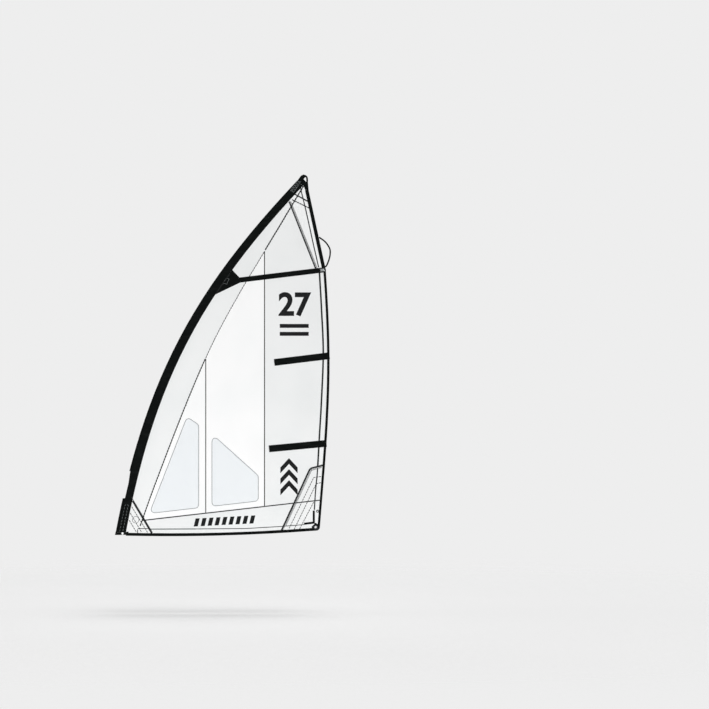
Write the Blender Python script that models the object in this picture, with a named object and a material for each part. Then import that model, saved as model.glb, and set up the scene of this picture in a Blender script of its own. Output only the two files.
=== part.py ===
# A windsurf sail, built as it is cut and sewn.
# Metres. X runs aft, Y to starboard, Z up. The sail stands in the XZ plane, with the origin on the mast's
# axis at the foot end of the mast sleeve.
import math

import bmesh
import bpy
import numpy as np
from mathutils import Matrix, Vector

# Cloth, and the clearance between pieces that lie on each other
CLOTH = 0.0005
GAP = 0.0003

# Mast sleeve
SLEEVE_HEIGHT = 3.79
SLEEVE_RAKE = 1.947
LUFF_LEAN_FOOT = math.radians(10.7)
LUFF_LEAN_HEAD = math.radians(43.4)
LUFF_FULLNESS_FOOT = 1.737
LUFF_FULLNESS_HEAD = 1.57
SLEEVE_WIDTH_FOOT = 0.110
SLEEVE_WIDTH_HEAD = 0.084
MAST_RADIUS_FOOT = 0.024
MAST_RADIUS_HEAD = 0.012
MAST_EASE = 0.003
NOSE_CLOTH = 0.0008
SEAM_TAB = 0.012
SEAM_UNDERLAP = 0.010
SQUARE_CUT_BELOW = 0.75
TURNED_CUT_ABOVE = 1.6
BOOM_OPENING_LOW = 0.392
BOOM_OPENING_HIGH = 0.683

# Leech and foot edges, and the tape folded over them
HEAD_WIDTH = 0.1235
HEAD_DROP = 0.098
LEECH_FOOT_X = 2.158
LEECH_LEAN_FOOT = math.radians(5)
LEECH_LEAN_BATTEN = math.radians(-4)
LEECH_FULLNESS_FOOT = 1.4
LEECH_FULLNESS_BATTEN = 1.0
LEECH_BATTEN_X = 2.228
FOOT_TACK_Z = -0.009
FOOT_CLEW_Z = 0.048
FOOT_ROACH = 0.026
CLEW_RADIUS = 0.038
TAPE_WIDTH = 0.027
TAPE_FOLD = 0.001

# Panel seams
LUFF_SEAM_POINTS = (
    (0.2035, -0.010), (0.4142, 0.577), (0.7459, 1.433), (1.0027, 2.021), (1.2573, 2.503), (1.5409, 2.984),
    (1.9867, 3.728),
)
FRONT_SEAM_X = 0.943
AFT_SEAM_X = 1.572
FOOT_SEAM_HEIGHT = 0.1236
FOOT_SEAM_RISE = math.radians(6.53)
HEAD_SEAM_LUFF_HEIGHT = 3.567
HEAD_SEAM_LEAN = math.radians(-21.6)

# Windows
WINDOW_MARGIN = 0.066
FRONT_WINDOW_AFT_MARGIN = 0.075
FRONT_WINDOW_TOP = 1.178
FRONT_WINDOW_SHOULDER = math.radians(-34)
AFT_WINDOW_TOP = 0.633
AFT_WINDOW_SHOULDER = math.radians(-42)
WINDOW_CORNER = 0.035

# Battens and pockets: height at the leech, rise towards the leech, and lengths
TOP_BATTEN_HEIGHT = 2.838
MID_BATTEN_HEIGHT = 1.917
LOW_BATTEN_HEIGHT = 0.979
TOP_BATTEN_RISE = math.radians(6.9)
MID_BATTEN_RISE = math.radians(6.95)
LOW_BATTEN_RISE = math.radians(5.4)
MID_POCKET_LENGTH = 0.596
LOW_POCKET_LENGTH = 0.618
TOP_POCKET_WIDTH = 0.055
SHORT_POCKET_WIDTH = 0.073
BATTEN_WIDTH = 0.028
BATTEN_THICKNESS = 0.0022
BATTEN_CLEARANCE = 0.0004
BATTEN_SETBACK = 0.010
TOP_BATTEN_SETBACK = 0.014
TOP_POCKET_OVERLAP = 0.015
BATTEN_INNER_END = 0.008
CAP_LENGTH = 0.012
CAP_TAPER = 0.7
POCKET_SIDE_RUN = 0.006
STATION_SPACING = 0.15

# Tensioner on the end of the top batten
TENSIONER_LENGTH = 0.062
TENSIONER_WIDTH = 0.041
TENSIONER_WALL = 0.0018
TENSIONER_SETBACK = 0.004
LUG_THICKNESS = 0.003
LEVER_WIDTH = 0.022
LEVER_LENGTH = 0.036
LEVER_THICKNESS = 0.003
LEVER_TIP = 0.002
PIN_RADIUS = 0.0015
PIN_CLEARANCE = 0.0003
LUG_HALF = 0.00375
TENSION_WEBBING_WIDTH = 0.018
TENSION_WEBBING = 0.001
TENSION_TAIL = 0.065
LOOP_WIDTH = 0.010
LOOP_THICKNESS = 0.0012
LOOP_ROUTE = (
    (-0.0250, 0.0336), (-0.0050, 0.0320), (0.0120, 0.0390), (0.0320, 0.0730), (0.0435, 0.1250),
    (0.0485, 0.1750), (0.0450, 0.2220), (0.0160, 0.2680), (-0.0250, 0.3090), (-0.0540, 0.3340),
    (-0.0820, 0.3500),
)

# Patches
LUFF_PATCH_BELOW_BATTEN = 0.004
LUFF_PATCH_HEIGHT = 0.262
LUFF_PATCH_REACH = 0.080
TACK_PATCH_HEIGHT = 0.380
TACK_PATCH_REACH = 0.370
CLEW_PATCH_REACH = 1.775
CLEW_PATCH_HEIGHT = 0.732
CLEW_PATCH_KNEE = (2.064, 0.705)
HEAD_PATCH_LUFF_DROP = 0.202
HEAD_PATCH_LEECH_DROP = 0.292

# Tack
HEM_HEIGHT = 0.034
HEM_CLOTH = 0.001
HEM_TAIL = 0.027
TACK_WEBBING_FRONT = 0.045
TACK_WEBBING_WIDTH = 0.030
TACK_WEBBING_TOP = 0.322
TACK_WEBBING = 0.0012
TACK_EYELET_CHORD = 0.0762
TACK_EYELET_HEIGHT = 0.016
TACK_EYELET_BORE = 0.008
TACK_EYELET_FLANGE = 0.0125

# Clew
CLEW_RING_X = 2.120
CLEW_RING_Z = 0.081
CLEW_RING_BORE = 0.013
CLEW_RING_FLANGE = 0.023
LEECH_EYELET_HEIGHT = 0.250
LEECH_EYELET_BORE = 0.006
LEECH_EYELET_FLANGE = 0.013
BARREL_WALL = 0.002
FLANGE_THICKNESS = 0.0013
CLEW_STRAP_WIDTH = 0.016
CLEW_STRAP_ROUTE = ((-0.014, 0.176), (-0.014, 0.050), (-0.116, 0.0385))
CLEW_REINFORCEMENT = (
    (0, 0.042), (-0.042, 0), (-0.024, -0.027), (0.020, -0.027), (0.032, -0.012), (0.032, 0.016),
)
PUNCH_REACH = 0.006

# Head cap, strap and corner. Places are (aft along the sleeve's cut end, up along the luff).
HEAD_STRAP_WIDTH = 0.014
HEAD_STRAP_START = 0.006
HEAD_STRAP_TAIL = 0.080
HEAD_STRAP_ARCH = (
    (0.0075, 0.0880), (0.0190, 0.0955), (0.0330, 0.1010), (0.0480, 0.1005), (0.0620, 0.0940),
    (0.0730, 0.0840), (0.0910, 0.0642),
)
HEAD_STRAP_FORK = 3.7795
CAP_WALL = 0.0012
CAP_SECTIONS = (
    (0.0003, 0.0015, 0.0465, 0.0175), (0.020, 0.0005, 0.0465, 0.0175), (0.040, -0.0025, 0.0440, 0.0170),
    (0.060, -0.0055, 0.0410, 0.0160), (0.074, -0.0045, 0.0385, 0.0140), (0.0783, 0.0000, 0.0375, 0.0115),
    (0.0823, 0.0150, 0.0370, 0.0085), (0.0898, 0.0280, 0.0355, 0.0045),
)
HEAD_PEAK = ((0.0740, 0.0030), (0.0500, 0.0035), (0.0488, 0.0400), (0.0480, 0.0535), (0.0840, 0.0585))
HEAD_CORNER = (
    (0.0838, 0.0005), (0.0488, 0.0008), (0.0478, 0.0300), (0.0468, 0.0545), (0.0835, 0.0575),
)
HEAD_CORNER_NOTCH = (0.0838, 0.0118)
HEAD_CORNER_REACH = 0.060
HEAD_PATCH_TIP = (0.0850, 0.0095)
HEAD_PATCH_START = 0.066

COLOURS = {
    "black": (0.009, 0.010, 0.010),
    "grey_cloth": (0.83, 0.85, 0.84),
    "white_cloth": (0.93, 0.93, 0.93),
    "film": (0.84, 0.88, 0.92),
    "steel": (0.55, 0.56, 0.57),
    "dark_steel": (0.06, 0.06, 0.065),
    "black_plastic": (0.015, 0.016, 0.016),
    "grey_plastic": (0.36, 0.37, 0.37),
    "fibreglass": (0.78, 0.76, 0.66),
}
FACES = (("port", -1), ("starboard", 1))


def clear_scene():
    for thing in list(bpy.data.objects):
        bpy.data.objects.remove(thing)


def material(name, colour, roughness=0.6, metallic=0.0):
    made = bpy.data.materials.new(name)
    made.use_nodes = True
    shader = made.node_tree.nodes["Principled BSDF"]
    shader.inputs["Base Color"].default_value = (*COLOURS[colour], 1.0)
    shader.inputs["Roughness"].default_value = roughness
    shader.inputs["Metallic"].default_value = metallic
    return made


# Objects from meshes


def add_object(name, mesh, colour, place=None, roughness=0.6, metallic=0.0, smooth=False):
    bmesh.ops.recalc_face_normals(mesh, faces=mesh.faces[:])
    data = bpy.data.meshes.new(name)
    mesh.to_mesh(data)
    mesh.free()
    if smooth:
        data.shade_smooth()
        data.set_sharp_from_angle(angle=math.radians(40))
    data.materials.append(material(name, colour, roughness, metallic))
    thing = bpy.data.objects.new(name, data)
    bpy.context.scene.collection.objects.link(thing)
    if place is not None:
        thing.matrix_world = place
    return thing


def plate(name, colour, outline, near, far, holes=(), **options):
    # A flat piece: its outline in X and Z, filled, and thickened along Y
    mesh = bmesh.new()
    edges = []
    for loop in (outline, *holes):
        corners = [mesh.verts.new((x, near, z)) for x, z in loop]
        edges += [mesh.edges.new((corners[i - 1], corners[i])) for i in range(len(corners))]
    bmesh.ops.triangle_fill(mesh, edges=edges, use_beauty=True)
    raised = bmesh.ops.extrude_face_region(mesh, geom=mesh.faces[:])["geom"]
    moved = [v for v in raised if isinstance(v, bmesh.types.BMVert)]
    bmesh.ops.translate(mesh, vec=(0, far - near, 0), verts=moved)
    return add_object(name, mesh, colour, **options)


def loft(name, colour, rings, **options):
    # A closed solid through rings of the same even number of points. Each end is closed rung by rung, the
    # first point facing the last, so a thin folded section stays hollow.
    mesh = bmesh.new()
    rows = [[mesh.verts.new(point) for point in ring] for ring in rings]
    for low, high in zip(rows, rows[1:]):
        for i in range(len(low)):
            mesh.faces.new((low[i - 1], low[i], high[i], high[i - 1]))
    for row in (rows[0], rows[-1]):
        for i in range(len(row) // 2 - 1):
            mesh.faces.new((row[i], row[i + 1], row[-2 - i], row[-1 - i]))
    return add_object(name, mesh, colour, **options)


def spool(name, colour, bore, barrel, flange, low, high, place, steps=24, **options):
    # A turned eyelet about local Z: a barrel between two flanges, bored through
    low_face, high_face = low - FLANGE_THICKNESS, high + FLANGE_THICKNESS
    profile = (
        (bore, low_face), (flange, low_face), (flange, low), (barrel, low),
        (barrel, high), (flange, high), (flange, high_face), (bore, high_face),
    )
    mesh = bmesh.new()
    rows = []
    for step in range(steps):
        turn = 2 * math.pi * step / steps
        rows.append([mesh.verts.new((r * math.cos(turn), r * math.sin(turn), h)) for r, h in profile])
    for step in range(steps):
        for i in range(len(profile)):
            here, ahead = rows[step - 1], rows[step]
            mesh.faces.new((here[i - 1], here[i], ahead[i], ahead[i - 1]))
    return add_object(name, mesh, colour, place=place, smooth=True, **options)


def block(mesh, low, high):
    # A box between two corners, added to the mesh
    centre = (Vector(low) + Vector(high)) / 2
    size = Vector(high) - Vector(low)
    bmesh.ops.create_cube(mesh, size=1, matrix=Matrix.Translation(centre) @ Matrix.Diagonal((*size, 1)))


def combine(thing, other, operation="DIFFERENCE"):
    modifier = thing.modifiers.new(operation.lower(), "BOOLEAN")
    modifier.operation = operation
    modifier.solver = "EXACT"
    modifier.object = other


def helper(thing):
    # A shape that only cuts or joins another one
    thing.hide_render = True
    thing.display_type = "WIRE"
    return thing


def round_cutter(name, radius, reach, place):
    mesh = bmesh.new()
    bmesh.ops.create_cone(
        mesh, cap_ends=True, segments=24, radius1=radius, radius2=radius, depth=2 * reach
    )
    return helper(add_object(name, mesh, "steel", place=place))


# Flat geometry: points are (x, z)


def layer(number):
    # Distance from the middle plane to the inner face of the cloth in that layer
    return CLOTH / 2 + GAP + (number - 1) * (CLOTH + GAP)


def span(number, side, thickness=CLOTH):
    near = side * layer(number)
    return near, near + side * thickness


def bezier(start, start_lean, start_fullness, end, end_lean, end_fullness, steps=24):
    # A curve between two points, each with its lean from the vertical and the length of its handle
    start, end = np.array(start), np.array(end)
    rise = start + start_fullness * np.array((math.sin(start_lean), math.cos(start_lean)))
    fall = end - end_fullness * np.array((math.sin(end_lean), math.cos(end_lean)))
    t = np.linspace(0, 1, steps)[:, None]
    s = 1 - t
    return s**3 * start + 3 * s * s * t * rise + 3 * s * t * t * fall + t**3 * end


def x_at(curve, z):
    return float(np.interp(z, curve[:, 1], curve[:, 0]))


def z_at(curve, x):
    return float(np.interp(x, curve[:, 0], curve[:, 1]))


def between(curve, start, stop):
    # The curve's own points between two heights, with one more at each of them
    low, high = min(start, stop), max(start, stop)
    inside = curve[(curve[:, 1] > low + GAP) & (curve[:, 1] < high - GAP)]
    points = [(x_at(curve, low), low), *[tuple(p) for p in inside], (x_at(curve, high), high)]
    return points if start < stop else points[::-1]


def crossing(first, second):
    # Where two straight lines, each given by a point and a direction, meet
    (ax, az), (adx, adz) = first
    (bx, bz), (bdx, bdz) = second
    along = ((bx - ax) * bdz - (bz - az) * bdx) / (adx * bdz - adz * bdx)
    return ax + along * adx, az + along * adz


def inset(outline, distance):
    # The closed outline drawn in by a distance, whichever way round it runs
    points = np.array(outline)
    ahead = np.roll(points, -1, axis=0)
    area = float(np.sum(points[:, 0] * ahead[:, 1] - ahead[:, 0] * points[:, 1]))
    inward = 1 if area > 0 else -1
    edge = ahead - points
    edge /= np.linalg.norm(edge, axis=1)[:, None]
    normal = inward * np.stack((-edge[:, 1], edge[:, 0]), axis=1)
    before = np.roll(normal, 1, axis=0)
    both = normal + before
    both /= np.sum(both * normal, axis=1)[:, None]
    return [tuple(p) for p in points + both * distance]


def beside(line, distance):
    # An open line moved to its left by a distance
    points = np.array(line)
    edge = np.diff(points, axis=0)
    edge /= np.linalg.norm(edge, axis=1)[:, None]
    left = np.stack((-edge[:, 1], edge[:, 0]), axis=1)
    before, after = np.vstack((left[:1], left)), np.vstack((left, left[-1:]))
    both = before + after
    both /= np.sum(both * after, axis=1)[:, None]
    return [tuple(p) for p in points + both * distance]


def band(line, width):
    # The closed outline of a strap along a line
    return beside(line, width / 2) + beside(line, -width / 2)[::-1]


def smooth_line(points, count):
    # A smooth curve through hand-chosen points
    points = np.array(points)
    reach = np.concatenate(((0,), np.cumsum(np.linalg.norm(np.diff(points, axis=0), axis=1))))
    slope = np.gradient(points, reach, axis=0)
    made = []
    for at in np.linspace(0, reach[-1], count):
        i = min(int(np.searchsorted(reach, at, side="right")) - 1, len(points) - 2)
        length = reach[i + 1] - reach[i]
        t = (at - reach[i]) / length
        a, b, c, d = 2 * t**3 - 3 * t**2 + 1, t**3 - 2 * t**2 + t, 3 * t**2 - 2 * t**3, t**3 - t**2
        made.append(tuple(
            a * points[i] + b * length * slope[i] + c * points[i + 1] + d * length * slope[i + 1]
        ))
    return made


def rounded(corners, radius, steps=4):
    # The outline of straight sides with every corner turned on an arc
    made = []
    for i, corner in enumerate(corners):
        here = np.array(corner)
        back, on = np.array(corners[i - 1]) - here, np.array(corners[(i + 1) % len(corners)]) - here
        back, on = back / np.linalg.norm(back), on / np.linalg.norm(on)
        half = math.acos(float(np.clip(np.dot(back, on), -1, 1))) / 2
        centre = here + (back + on) / np.linalg.norm(back + on) * radius / math.sin(half)
        first, last = here + back * radius / math.tan(half), here + on * radius / math.tan(half)
        start = math.atan2(*(first - centre)[::-1])
        turn = math.atan2(*(last - centre)[::-1]) - start
        turn = (turn + math.pi) % (2 * math.pi) - math.pi
        for step in range(steps + 1):
            angle = start + turn * step / steps
            made.append(tuple(centre + radius * np.array((math.cos(angle), math.sin(angle)))))
    return made


def circle(x, z, radius, steps=24):
    turns = [2 * math.pi * step / steps for step in range(steps)]
    return [(x + radius * math.cos(t), z + radius * math.sin(t)) for t in turns]


# The luff, and the sleeve's cross-section at a height on it

LUFF_PATCH_TOP = TOP_BATTEN_HEIGHT - LUFF_PATCH_BELOW_BATTEN
LUFF_PATCH_FOOT = LUFF_PATCH_TOP - LUFF_PATCH_HEIGHT
NOSE_RADIUS_FOOT = MAST_RADIUS_FOOT + MAST_EASE
HEAD = (SLEEVE_RAKE - NOSE_RADIUS_FOOT, SLEEVE_HEIGHT)
LUFF = bezier(
    (-NOSE_RADIUS_FOOT, 0), LUFF_LEAN_FOOT, LUFF_FULLNESS_FOOT,
    HEAD, LUFF_LEAN_HEAD, LUFF_FULLNESS_HEAD, steps=120,
)


def luff_lean(height):
    step = SLEEVE_HEIGHT / 200
    low, high = max(0, height - step), min(SLEEVE_HEIGHT, height + step)
    return math.atan((x_at(LUFF, high) - x_at(LUFF, low)) / (high - low))


def section(height):
    # Front point, direction across the sleeve, width, and nose radius
    lean = luff_lean(height)
    share = min(max((height - SQUARE_CUT_BELOW) / (TURNED_CUT_ABOVE - SQUARE_CUT_BELOW), 0), 1)
    turn = lean * share * share * (3 - 2 * share)
    up = height / SLEEVE_HEIGHT
    width = SLEEVE_WIDTH_HEAD + (SLEEVE_WIDTH_FOOT - SLEEVE_WIDTH_HEAD) * (1 - up)
    mast = MAST_RADIUS_FOOT + (MAST_RADIUS_HEAD - MAST_RADIUS_FOOT) * up
    front = Vector((x_at(LUFF, height), 0, height))
    across = Vector((math.cos(turn), 0, -math.sin(turn)))
    return front, across, width / math.cos(lean - turn), mast + MAST_EASE


def on_section(height, points):
    # Points given as (distance aft of the front edge, y) on the section at that height
    front, across, _, _ = section(height)
    return [front + across * chord + Vector((0, y, 0)) for chord, y in points]


def wall_y(height, chord):
    # The outer face of the sleeve's side at that distance aft of its front edge
    _, _, width, radius = section(height)
    flat = layer(1) + CLOTH
    run = width - SEAM_TAB - radius
    return flat + (radius - flat) * min(max((width - SEAM_TAB - chord) / run, 0), 1)


WALL_HEIGHTS = [
    *np.linspace(0, BOOM_OPENING_LOW, 5)[:-1],
    *np.linspace(BOOM_OPENING_LOW, BOOM_OPENING_HIGH, 4)[:-1],
    *np.linspace(BOOM_OPENING_HIGH, SLEEVE_HEIGHT, 23),
]


def sleeve_line(past):
    # The line at a distance aft of the sleeve's aft edge, through the sections that the sleeve is built on
    made = []
    for height in WALL_HEIGHTS:
        front, across, width, _ = section(height)
        point = front + across * (width + past)
        made.append((point.x, point.z))
    return np.array(made)


HEAD_LEAN = luff_lean(SLEEVE_HEIGHT)
PANEL_LUFF = sleeve_line(-SEAM_UNDERLAP)
PATCH_LUFF = sleeve_line(GAP)


def head_point(chord, above):
    # A point above the sleeve's head end: aft along the cut, and up along the luff
    across = np.array((math.cos(HEAD_LEAN), -math.sin(HEAD_LEAN)))
    up = np.array((math.sin(HEAD_LEAN), math.cos(HEAD_LEAN)))
    return tuple(np.array(HEAD) + across * chord + up * above)


# The free edge, from the head down the leech, round the clew and along the foot to the sleeve

LEECH_HEAD = (HEAD[0] + HEAD_WIDTH, HEAD[1] - HEAD_DROP)
LOWER_LEECH = bezier(
    (LEECH_FOOT_X, 0), LEECH_LEAN_FOOT, LEECH_FULLNESS_FOOT,
    (LEECH_BATTEN_X, TOP_BATTEN_HEIGHT), LEECH_LEAN_BATTEN, LEECH_FULLNESS_BATTEN, steps=120,
)
FOOT_START_X = x_at(PATCH_LUFF, FOOT_TACK_Z + TAPE_WIDTH) + GAP


def foot_z(x):
    share = (x - FOOT_START_X) / (LEECH_FOOT_X - FOOT_START_X)
    return FOOT_TACK_Z + (FOOT_CLEW_Z - FOOT_TACK_Z) * share - 4 * FOOT_ROACH * share * (1 - share)


def edge_line():
    # The line's points, and the number of the one in the middle of the clew's arc
    corner = (x_at(LOWER_LEECH, foot_z(LEECH_FOOT_X)), foot_z(LEECH_FOOT_X))
    above = (x_at(LOWER_LEECH, corner[1] + 2 * CLEW_RADIUS), corner[1] + 2 * CLEW_RADIUS)
    ahead = (corner[0] - 2 * CLEW_RADIUS, foot_z(corner[0] - 2 * CLEW_RADIUS))
    steps = 6
    arc = rounded([above, corner, ahead], CLEW_RADIUS, steps)[steps + 1:2 * steps + 2]
    heights = np.linspace(TOP_BATTEN_HEIGHT, arc[0][1], 26)[:-1]
    leech = [LEECH_HEAD, *[(x_at(LOWER_LEECH, z), z) for z in heights]]
    foot = [(x, foot_z(x)) for x in np.linspace(arc[-1][0], FOOT_START_X, 22)[1:]]
    return np.array(leech + arc + foot), len(leech) + steps // 2


EDGE, CORNER_POINT = edge_line()
EDGE_REACH = np.concatenate(((0,), np.cumsum(np.linalg.norm(np.diff(EDGE, axis=0), axis=1))))
EDGE_CORNER = float(EDGE_REACH[CORNER_POINT])
EDGE_END = float(EDGE_REACH[-1])
PANEL_DEPTH = TAPE_FOLD + GAP
INSIDE_TAPE = TAPE_WIDTH + GAP


def edge_run(start, stop, depth):
    # The free edge's points between two distances along it, moved inwards to a depth
    line = np.array(beside(EDGE, -depth))
    low, high = min(start, stop), max(start, stop)
    at = [low, *[r for r in EDGE_REACH if low + GAP < r < high - GAP], high]
    if start > stop:
        at.reverse()
    return list(zip(np.interp(at, EDGE_REACH, line[:, 0]), np.interp(at, EDGE_REACH, line[:, 1])))


def edge_point(reach, depth):
    return edge_run(reach, reach, depth)[0]


def leech_reach(z, depth=0.0):
    # Distance along the free edge from the head to a height on the leech
    line = np.array(beside(EDGE, -depth))[:CORNER_POINT + 1]
    return float(np.interp(-z, -line[:, 1], EDGE_REACH[:CORNER_POINT + 1]))


def foot_reach(x, depth=0.0):
    # Distance along the free edge from the head to a place on the foot
    line = np.array(beside(EDGE, -depth))[CORNER_POINT:]
    return float(np.interp(-x, -line[:, 0], EDGE_REACH[CORNER_POINT:]))


def leech_x(z, depth=0.0):
    return float(edge_point(leech_reach(z, depth), depth)[0])


# Seams

LUFF_SEAM = np.array(smooth_line(LUFF_SEAM_POINTS, 25))
HEAD_SEAM_AT = (x_at(PATCH_LUFF, HEAD_SEAM_LUFF_HEIGHT), HEAD_SEAM_LUFF_HEIGHT)


def foot_seam_z(x):
    return FOOT_SEAM_HEIGHT + math.tan(FOOT_SEAM_RISE) * x


def head_seam_x(z):
    return HEAD_SEAM_AT[0] + (z - HEAD_SEAM_AT[1]) * math.tan(HEAD_SEAM_LEAN)


def meeting(curve, other):
    # The point where a rising curve meets a line that is given as x of z
    heights = np.linspace(curve[0, 1], curve[-1, 1], 4000)
    apart = [abs(x_at(curve, z) - other(z)) for z in heights]
    height = float(heights[int(np.argmin(apart))])
    return other(height), height


FRONT_SEAM_TOP = z_at(LUFF_SEAM, FRONT_SEAM_X)
AFT_SEAM_TOP = z_at(LUFF_SEAM, AFT_SEAM_X)
SEAM_MEETING = meeting(LUFF_SEAM, head_seam_x)
HEAD_SEAM_TOP = meeting(PANEL_LUFF, head_seam_x)
FOOT_SEAM_START = meeting(LUFF_SEAM, lambda z: (z - FOOT_SEAM_HEIGHT) / math.tan(FOOT_SEAM_RISE))[1]
TOP_AXIS = ((LEECH_BATTEN_X, TOP_BATTEN_HEIGHT), (math.cos(TOP_BATTEN_RISE), math.sin(TOP_BATTEN_RISE)))
HEAD_SEAM_END = crossing((HEAD_SEAM_AT, (math.tan(HEAD_SEAM_LEAN), 1)), TOP_AXIS)


def foot_seam_end():
    # The height at which the foot seam reaches the leech
    heights = np.linspace(0.1, 1, 4000)
    apart = [abs(foot_seam_z(leech_x(z)) - z) for z in heights]
    return float(heights[int(np.argmin(apart))])


FOOT_SEAM_END = foot_seam_end()


# Cloth panels


def window_outline(left, right, top, shoulder):
    # Straight sides a margin inside the panel's seams, under a raking top
    low_left = left(foot_seam_z(FRONT_SEAM_X))
    slope = (left(top) - left(top - 0.2)) / 0.2
    low = ((low_left, foot_seam_z(low_left) + WINDOW_MARGIN), (1, math.tan(FOOT_SEAM_RISE)))
    head = ((right, top), (math.cos(shoulder), math.sin(shoulder)))
    side = ((left(top), top), (slope, 1))
    wall = ((right, top), (0, 1))
    return rounded(
        [crossing(low, side), crossing(low, wall), crossing(head, wall), crossing(head, side)],
        WINDOW_CORNER,
    )


def panel(name, colour, outline, holes=()):
    return plate(name, colour, inset(outline, GAP / 2), -CLOTH / 2, CLOTH / 2, holes=holes)


def build_panels():
    batten_reach = leech_reach(TOP_BATTEN_HEIGHT)
    foot_seam_reach = leech_reach(FOOT_SEAM_END, PANEL_DEPTH)
    seam_foot_reach = foot_reach(x_at(LUFF_SEAM, 0))
    seam_foot = edge_point(seam_foot_reach, PANEL_DEPTH)[1] + TAPE_WIDTH
    luff_foot = edge_point(EDGE_END, PANEL_DEPTH)[1]

    panel("luff_panel", "grey_cloth", [
        *between(PANEL_LUFF, max(luff_foot, 0), HEAD_SEAM_TOP[1]),
        SEAM_MEETING,
        *between(LUFF_SEAM, SEAM_MEETING[1], seam_foot)[1:],
        *edge_run(seam_foot_reach, EDGE_END, PANEL_DEPTH),
    ])
    front_hole = window_outline(
        lambda z: x_at(LUFF_SEAM, z) + WINDOW_MARGIN, FRONT_SEAM_X - FRONT_WINDOW_AFT_MARGIN,
        FRONT_WINDOW_TOP, FRONT_WINDOW_SHOULDER,
    )
    aft_hole = window_outline(
        lambda z: FRONT_SEAM_X + WINDOW_MARGIN, AFT_SEAM_X - WINDOW_MARGIN,
        AFT_WINDOW_TOP, AFT_WINDOW_SHOULDER,
    )
    panel("front_centre_panel", "white_cloth", [
        (FRONT_SEAM_X, foot_seam_z(FRONT_SEAM_X)),
        *between(LUFF_SEAM, FRONT_SEAM_TOP, FOOT_SEAM_START),
    ], holes=[front_hole])
    panel("aft_centre_panel", "white_cloth", [
        (AFT_SEAM_X, foot_seam_z(AFT_SEAM_X)),
        *between(LUFF_SEAM, AFT_SEAM_TOP, FRONT_SEAM_TOP),
        (FRONT_SEAM_X, foot_seam_z(FRONT_SEAM_X)),
    ], holes=[aft_hole])
    for name, hole in (("front_window", front_hole), ("aft_window", aft_hole)):
        plate(name, "film", inset(hole, GAP), -CLOTH / 2, CLOTH / 2, roughness=0.15)

    panel("leech_panel", "grey_cloth", [
        SEAM_MEETING,
        HEAD_SEAM_END,
        *edge_run(batten_reach, foot_seam_reach, PANEL_DEPTH),
        (AFT_SEAM_X, foot_seam_z(AFT_SEAM_X)),
        *between(LUFF_SEAM, AFT_SEAM_TOP, SEAM_MEETING[1])[:-1],
    ])
    panel("head_panel", "grey_cloth", [
        *between(PANEL_LUFF, HEAD_SEAM_TOP[1], float(PANEL_LUFF[-1, 1])),
        *[head_point(*p) for p in HEAD_PEAK],
        *edge_run(0.0, batten_reach, PANEL_DEPTH),
        HEAD_SEAM_END,
    ])
    foot = panel("foot_panel", "grey_cloth", [
        *between(LUFF_SEAM, FOOT_SEAM_START, seam_foot),
        *edge_run(seam_foot_reach, foot_seam_reach, PANEL_DEPTH),
    ])
    pierce(foot)


# Holes for the clew's ring and for the small eyelet above it

LEECH_EYELET_X = leech_x(LEECH_EYELET_HEIGHT, INSIDE_TAPE) - LEECH_EYELET_FLANGE
FACE_ON = Matrix.Rotation(math.radians(90), 4, "X")
RING_PLACE = Matrix.Translation((CLEW_RING_X, 0, CLEW_RING_Z)) @ FACE_ON
EYELET_PLACE = Matrix.Translation((LEECH_EYELET_X, 0, LEECH_EYELET_HEIGHT)) @ FACE_ON


def add_punches():
    round_cutter("clew_ring_hole", CLEW_RING_BORE + BARREL_WALL + GAP, PUNCH_REACH, RING_PLACE)
    round_cutter("leech_eyelet_hole", LEECH_EYELET_BORE + BARREL_WALL + GAP, PUNCH_REACH, EYELET_PLACE)


def pierce(thing, names=("clew_ring_hole", "leech_eyelet_hole")):
    for name in names:
        combine(thing, bpy.data.objects[name])


# The mast sleeve


def build_sleeve():
    # The side cloths meet at the low end of the boom opening
    low = [z for z in WALL_HEIGHTS if z <= BOOM_OPENING_LOW + GAP]
    above = [BOOM_OPENING_LOW + GAP, *[z for z in WALL_HEIGHTS if z > BOOM_OPENING_LOW + GAP]]
    for face, side in FACES:
        for name, heights in (("sleeve_side_lower", low), ("sleeve_side_upper", above)):
            rings = []
            for height in heights:
                _, _, width, radius = section(height)
                start, tab = radius + GAP, width - SEAM_TAB
                outer = [(chord, wall_y(height, chord)) for chord in (start, tab, width)]
                inner = [(chord, y - CLOTH) for chord, y in outer[::-1]]
                rings.append(on_section(height, [(chord, side * y) for chord, y in outer + inner]))
            loft(f"{name}_{face}", "black", rings)

    high = [z for z in WALL_HEIGHTS if z >= BOOM_OPENING_HIGH - GAP]
    for name, heights in (("sleeve_nose_lower", low), ("sleeve_nose_upper", high)):
        rings = []
        for height in heights:
            radius = section(height)[3]
            turns = [math.pi * step / 8 - math.pi / 2 for step in range(9)]
            ring = [(radius - radius * math.cos(t), radius * math.sin(t)) for t in turns]
            hollow = radius - NOSE_CLOTH
            ring += [(radius - hollow * math.cos(t), hollow * math.sin(t)) for t in turns[::-1]]
            rings.append(on_section(height, ring))
        loft(name, "black", rings, smooth=True)


def hem_line(height, offset):
    # The mouth hem's line round the sleeve, from the port tail by the nose to the starboard tail
    _, _, width, radius = section(height)
    tail = layer(2) + offset
    side = [(width + HEM_TAIL, tail), (width - SEAM_TAB, tail), (radius, radius + GAP + offset)]
    grown = radius + GAP + offset
    turns = [math.pi / 2 - math.pi * step / 8 for step in range(1, 8)]
    nose = [(radius - grown * math.cos(t), grown * math.sin(t)) for t in turns]
    return side + nose + [(chord, -y) for chord, y in side[::-1]]


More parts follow.
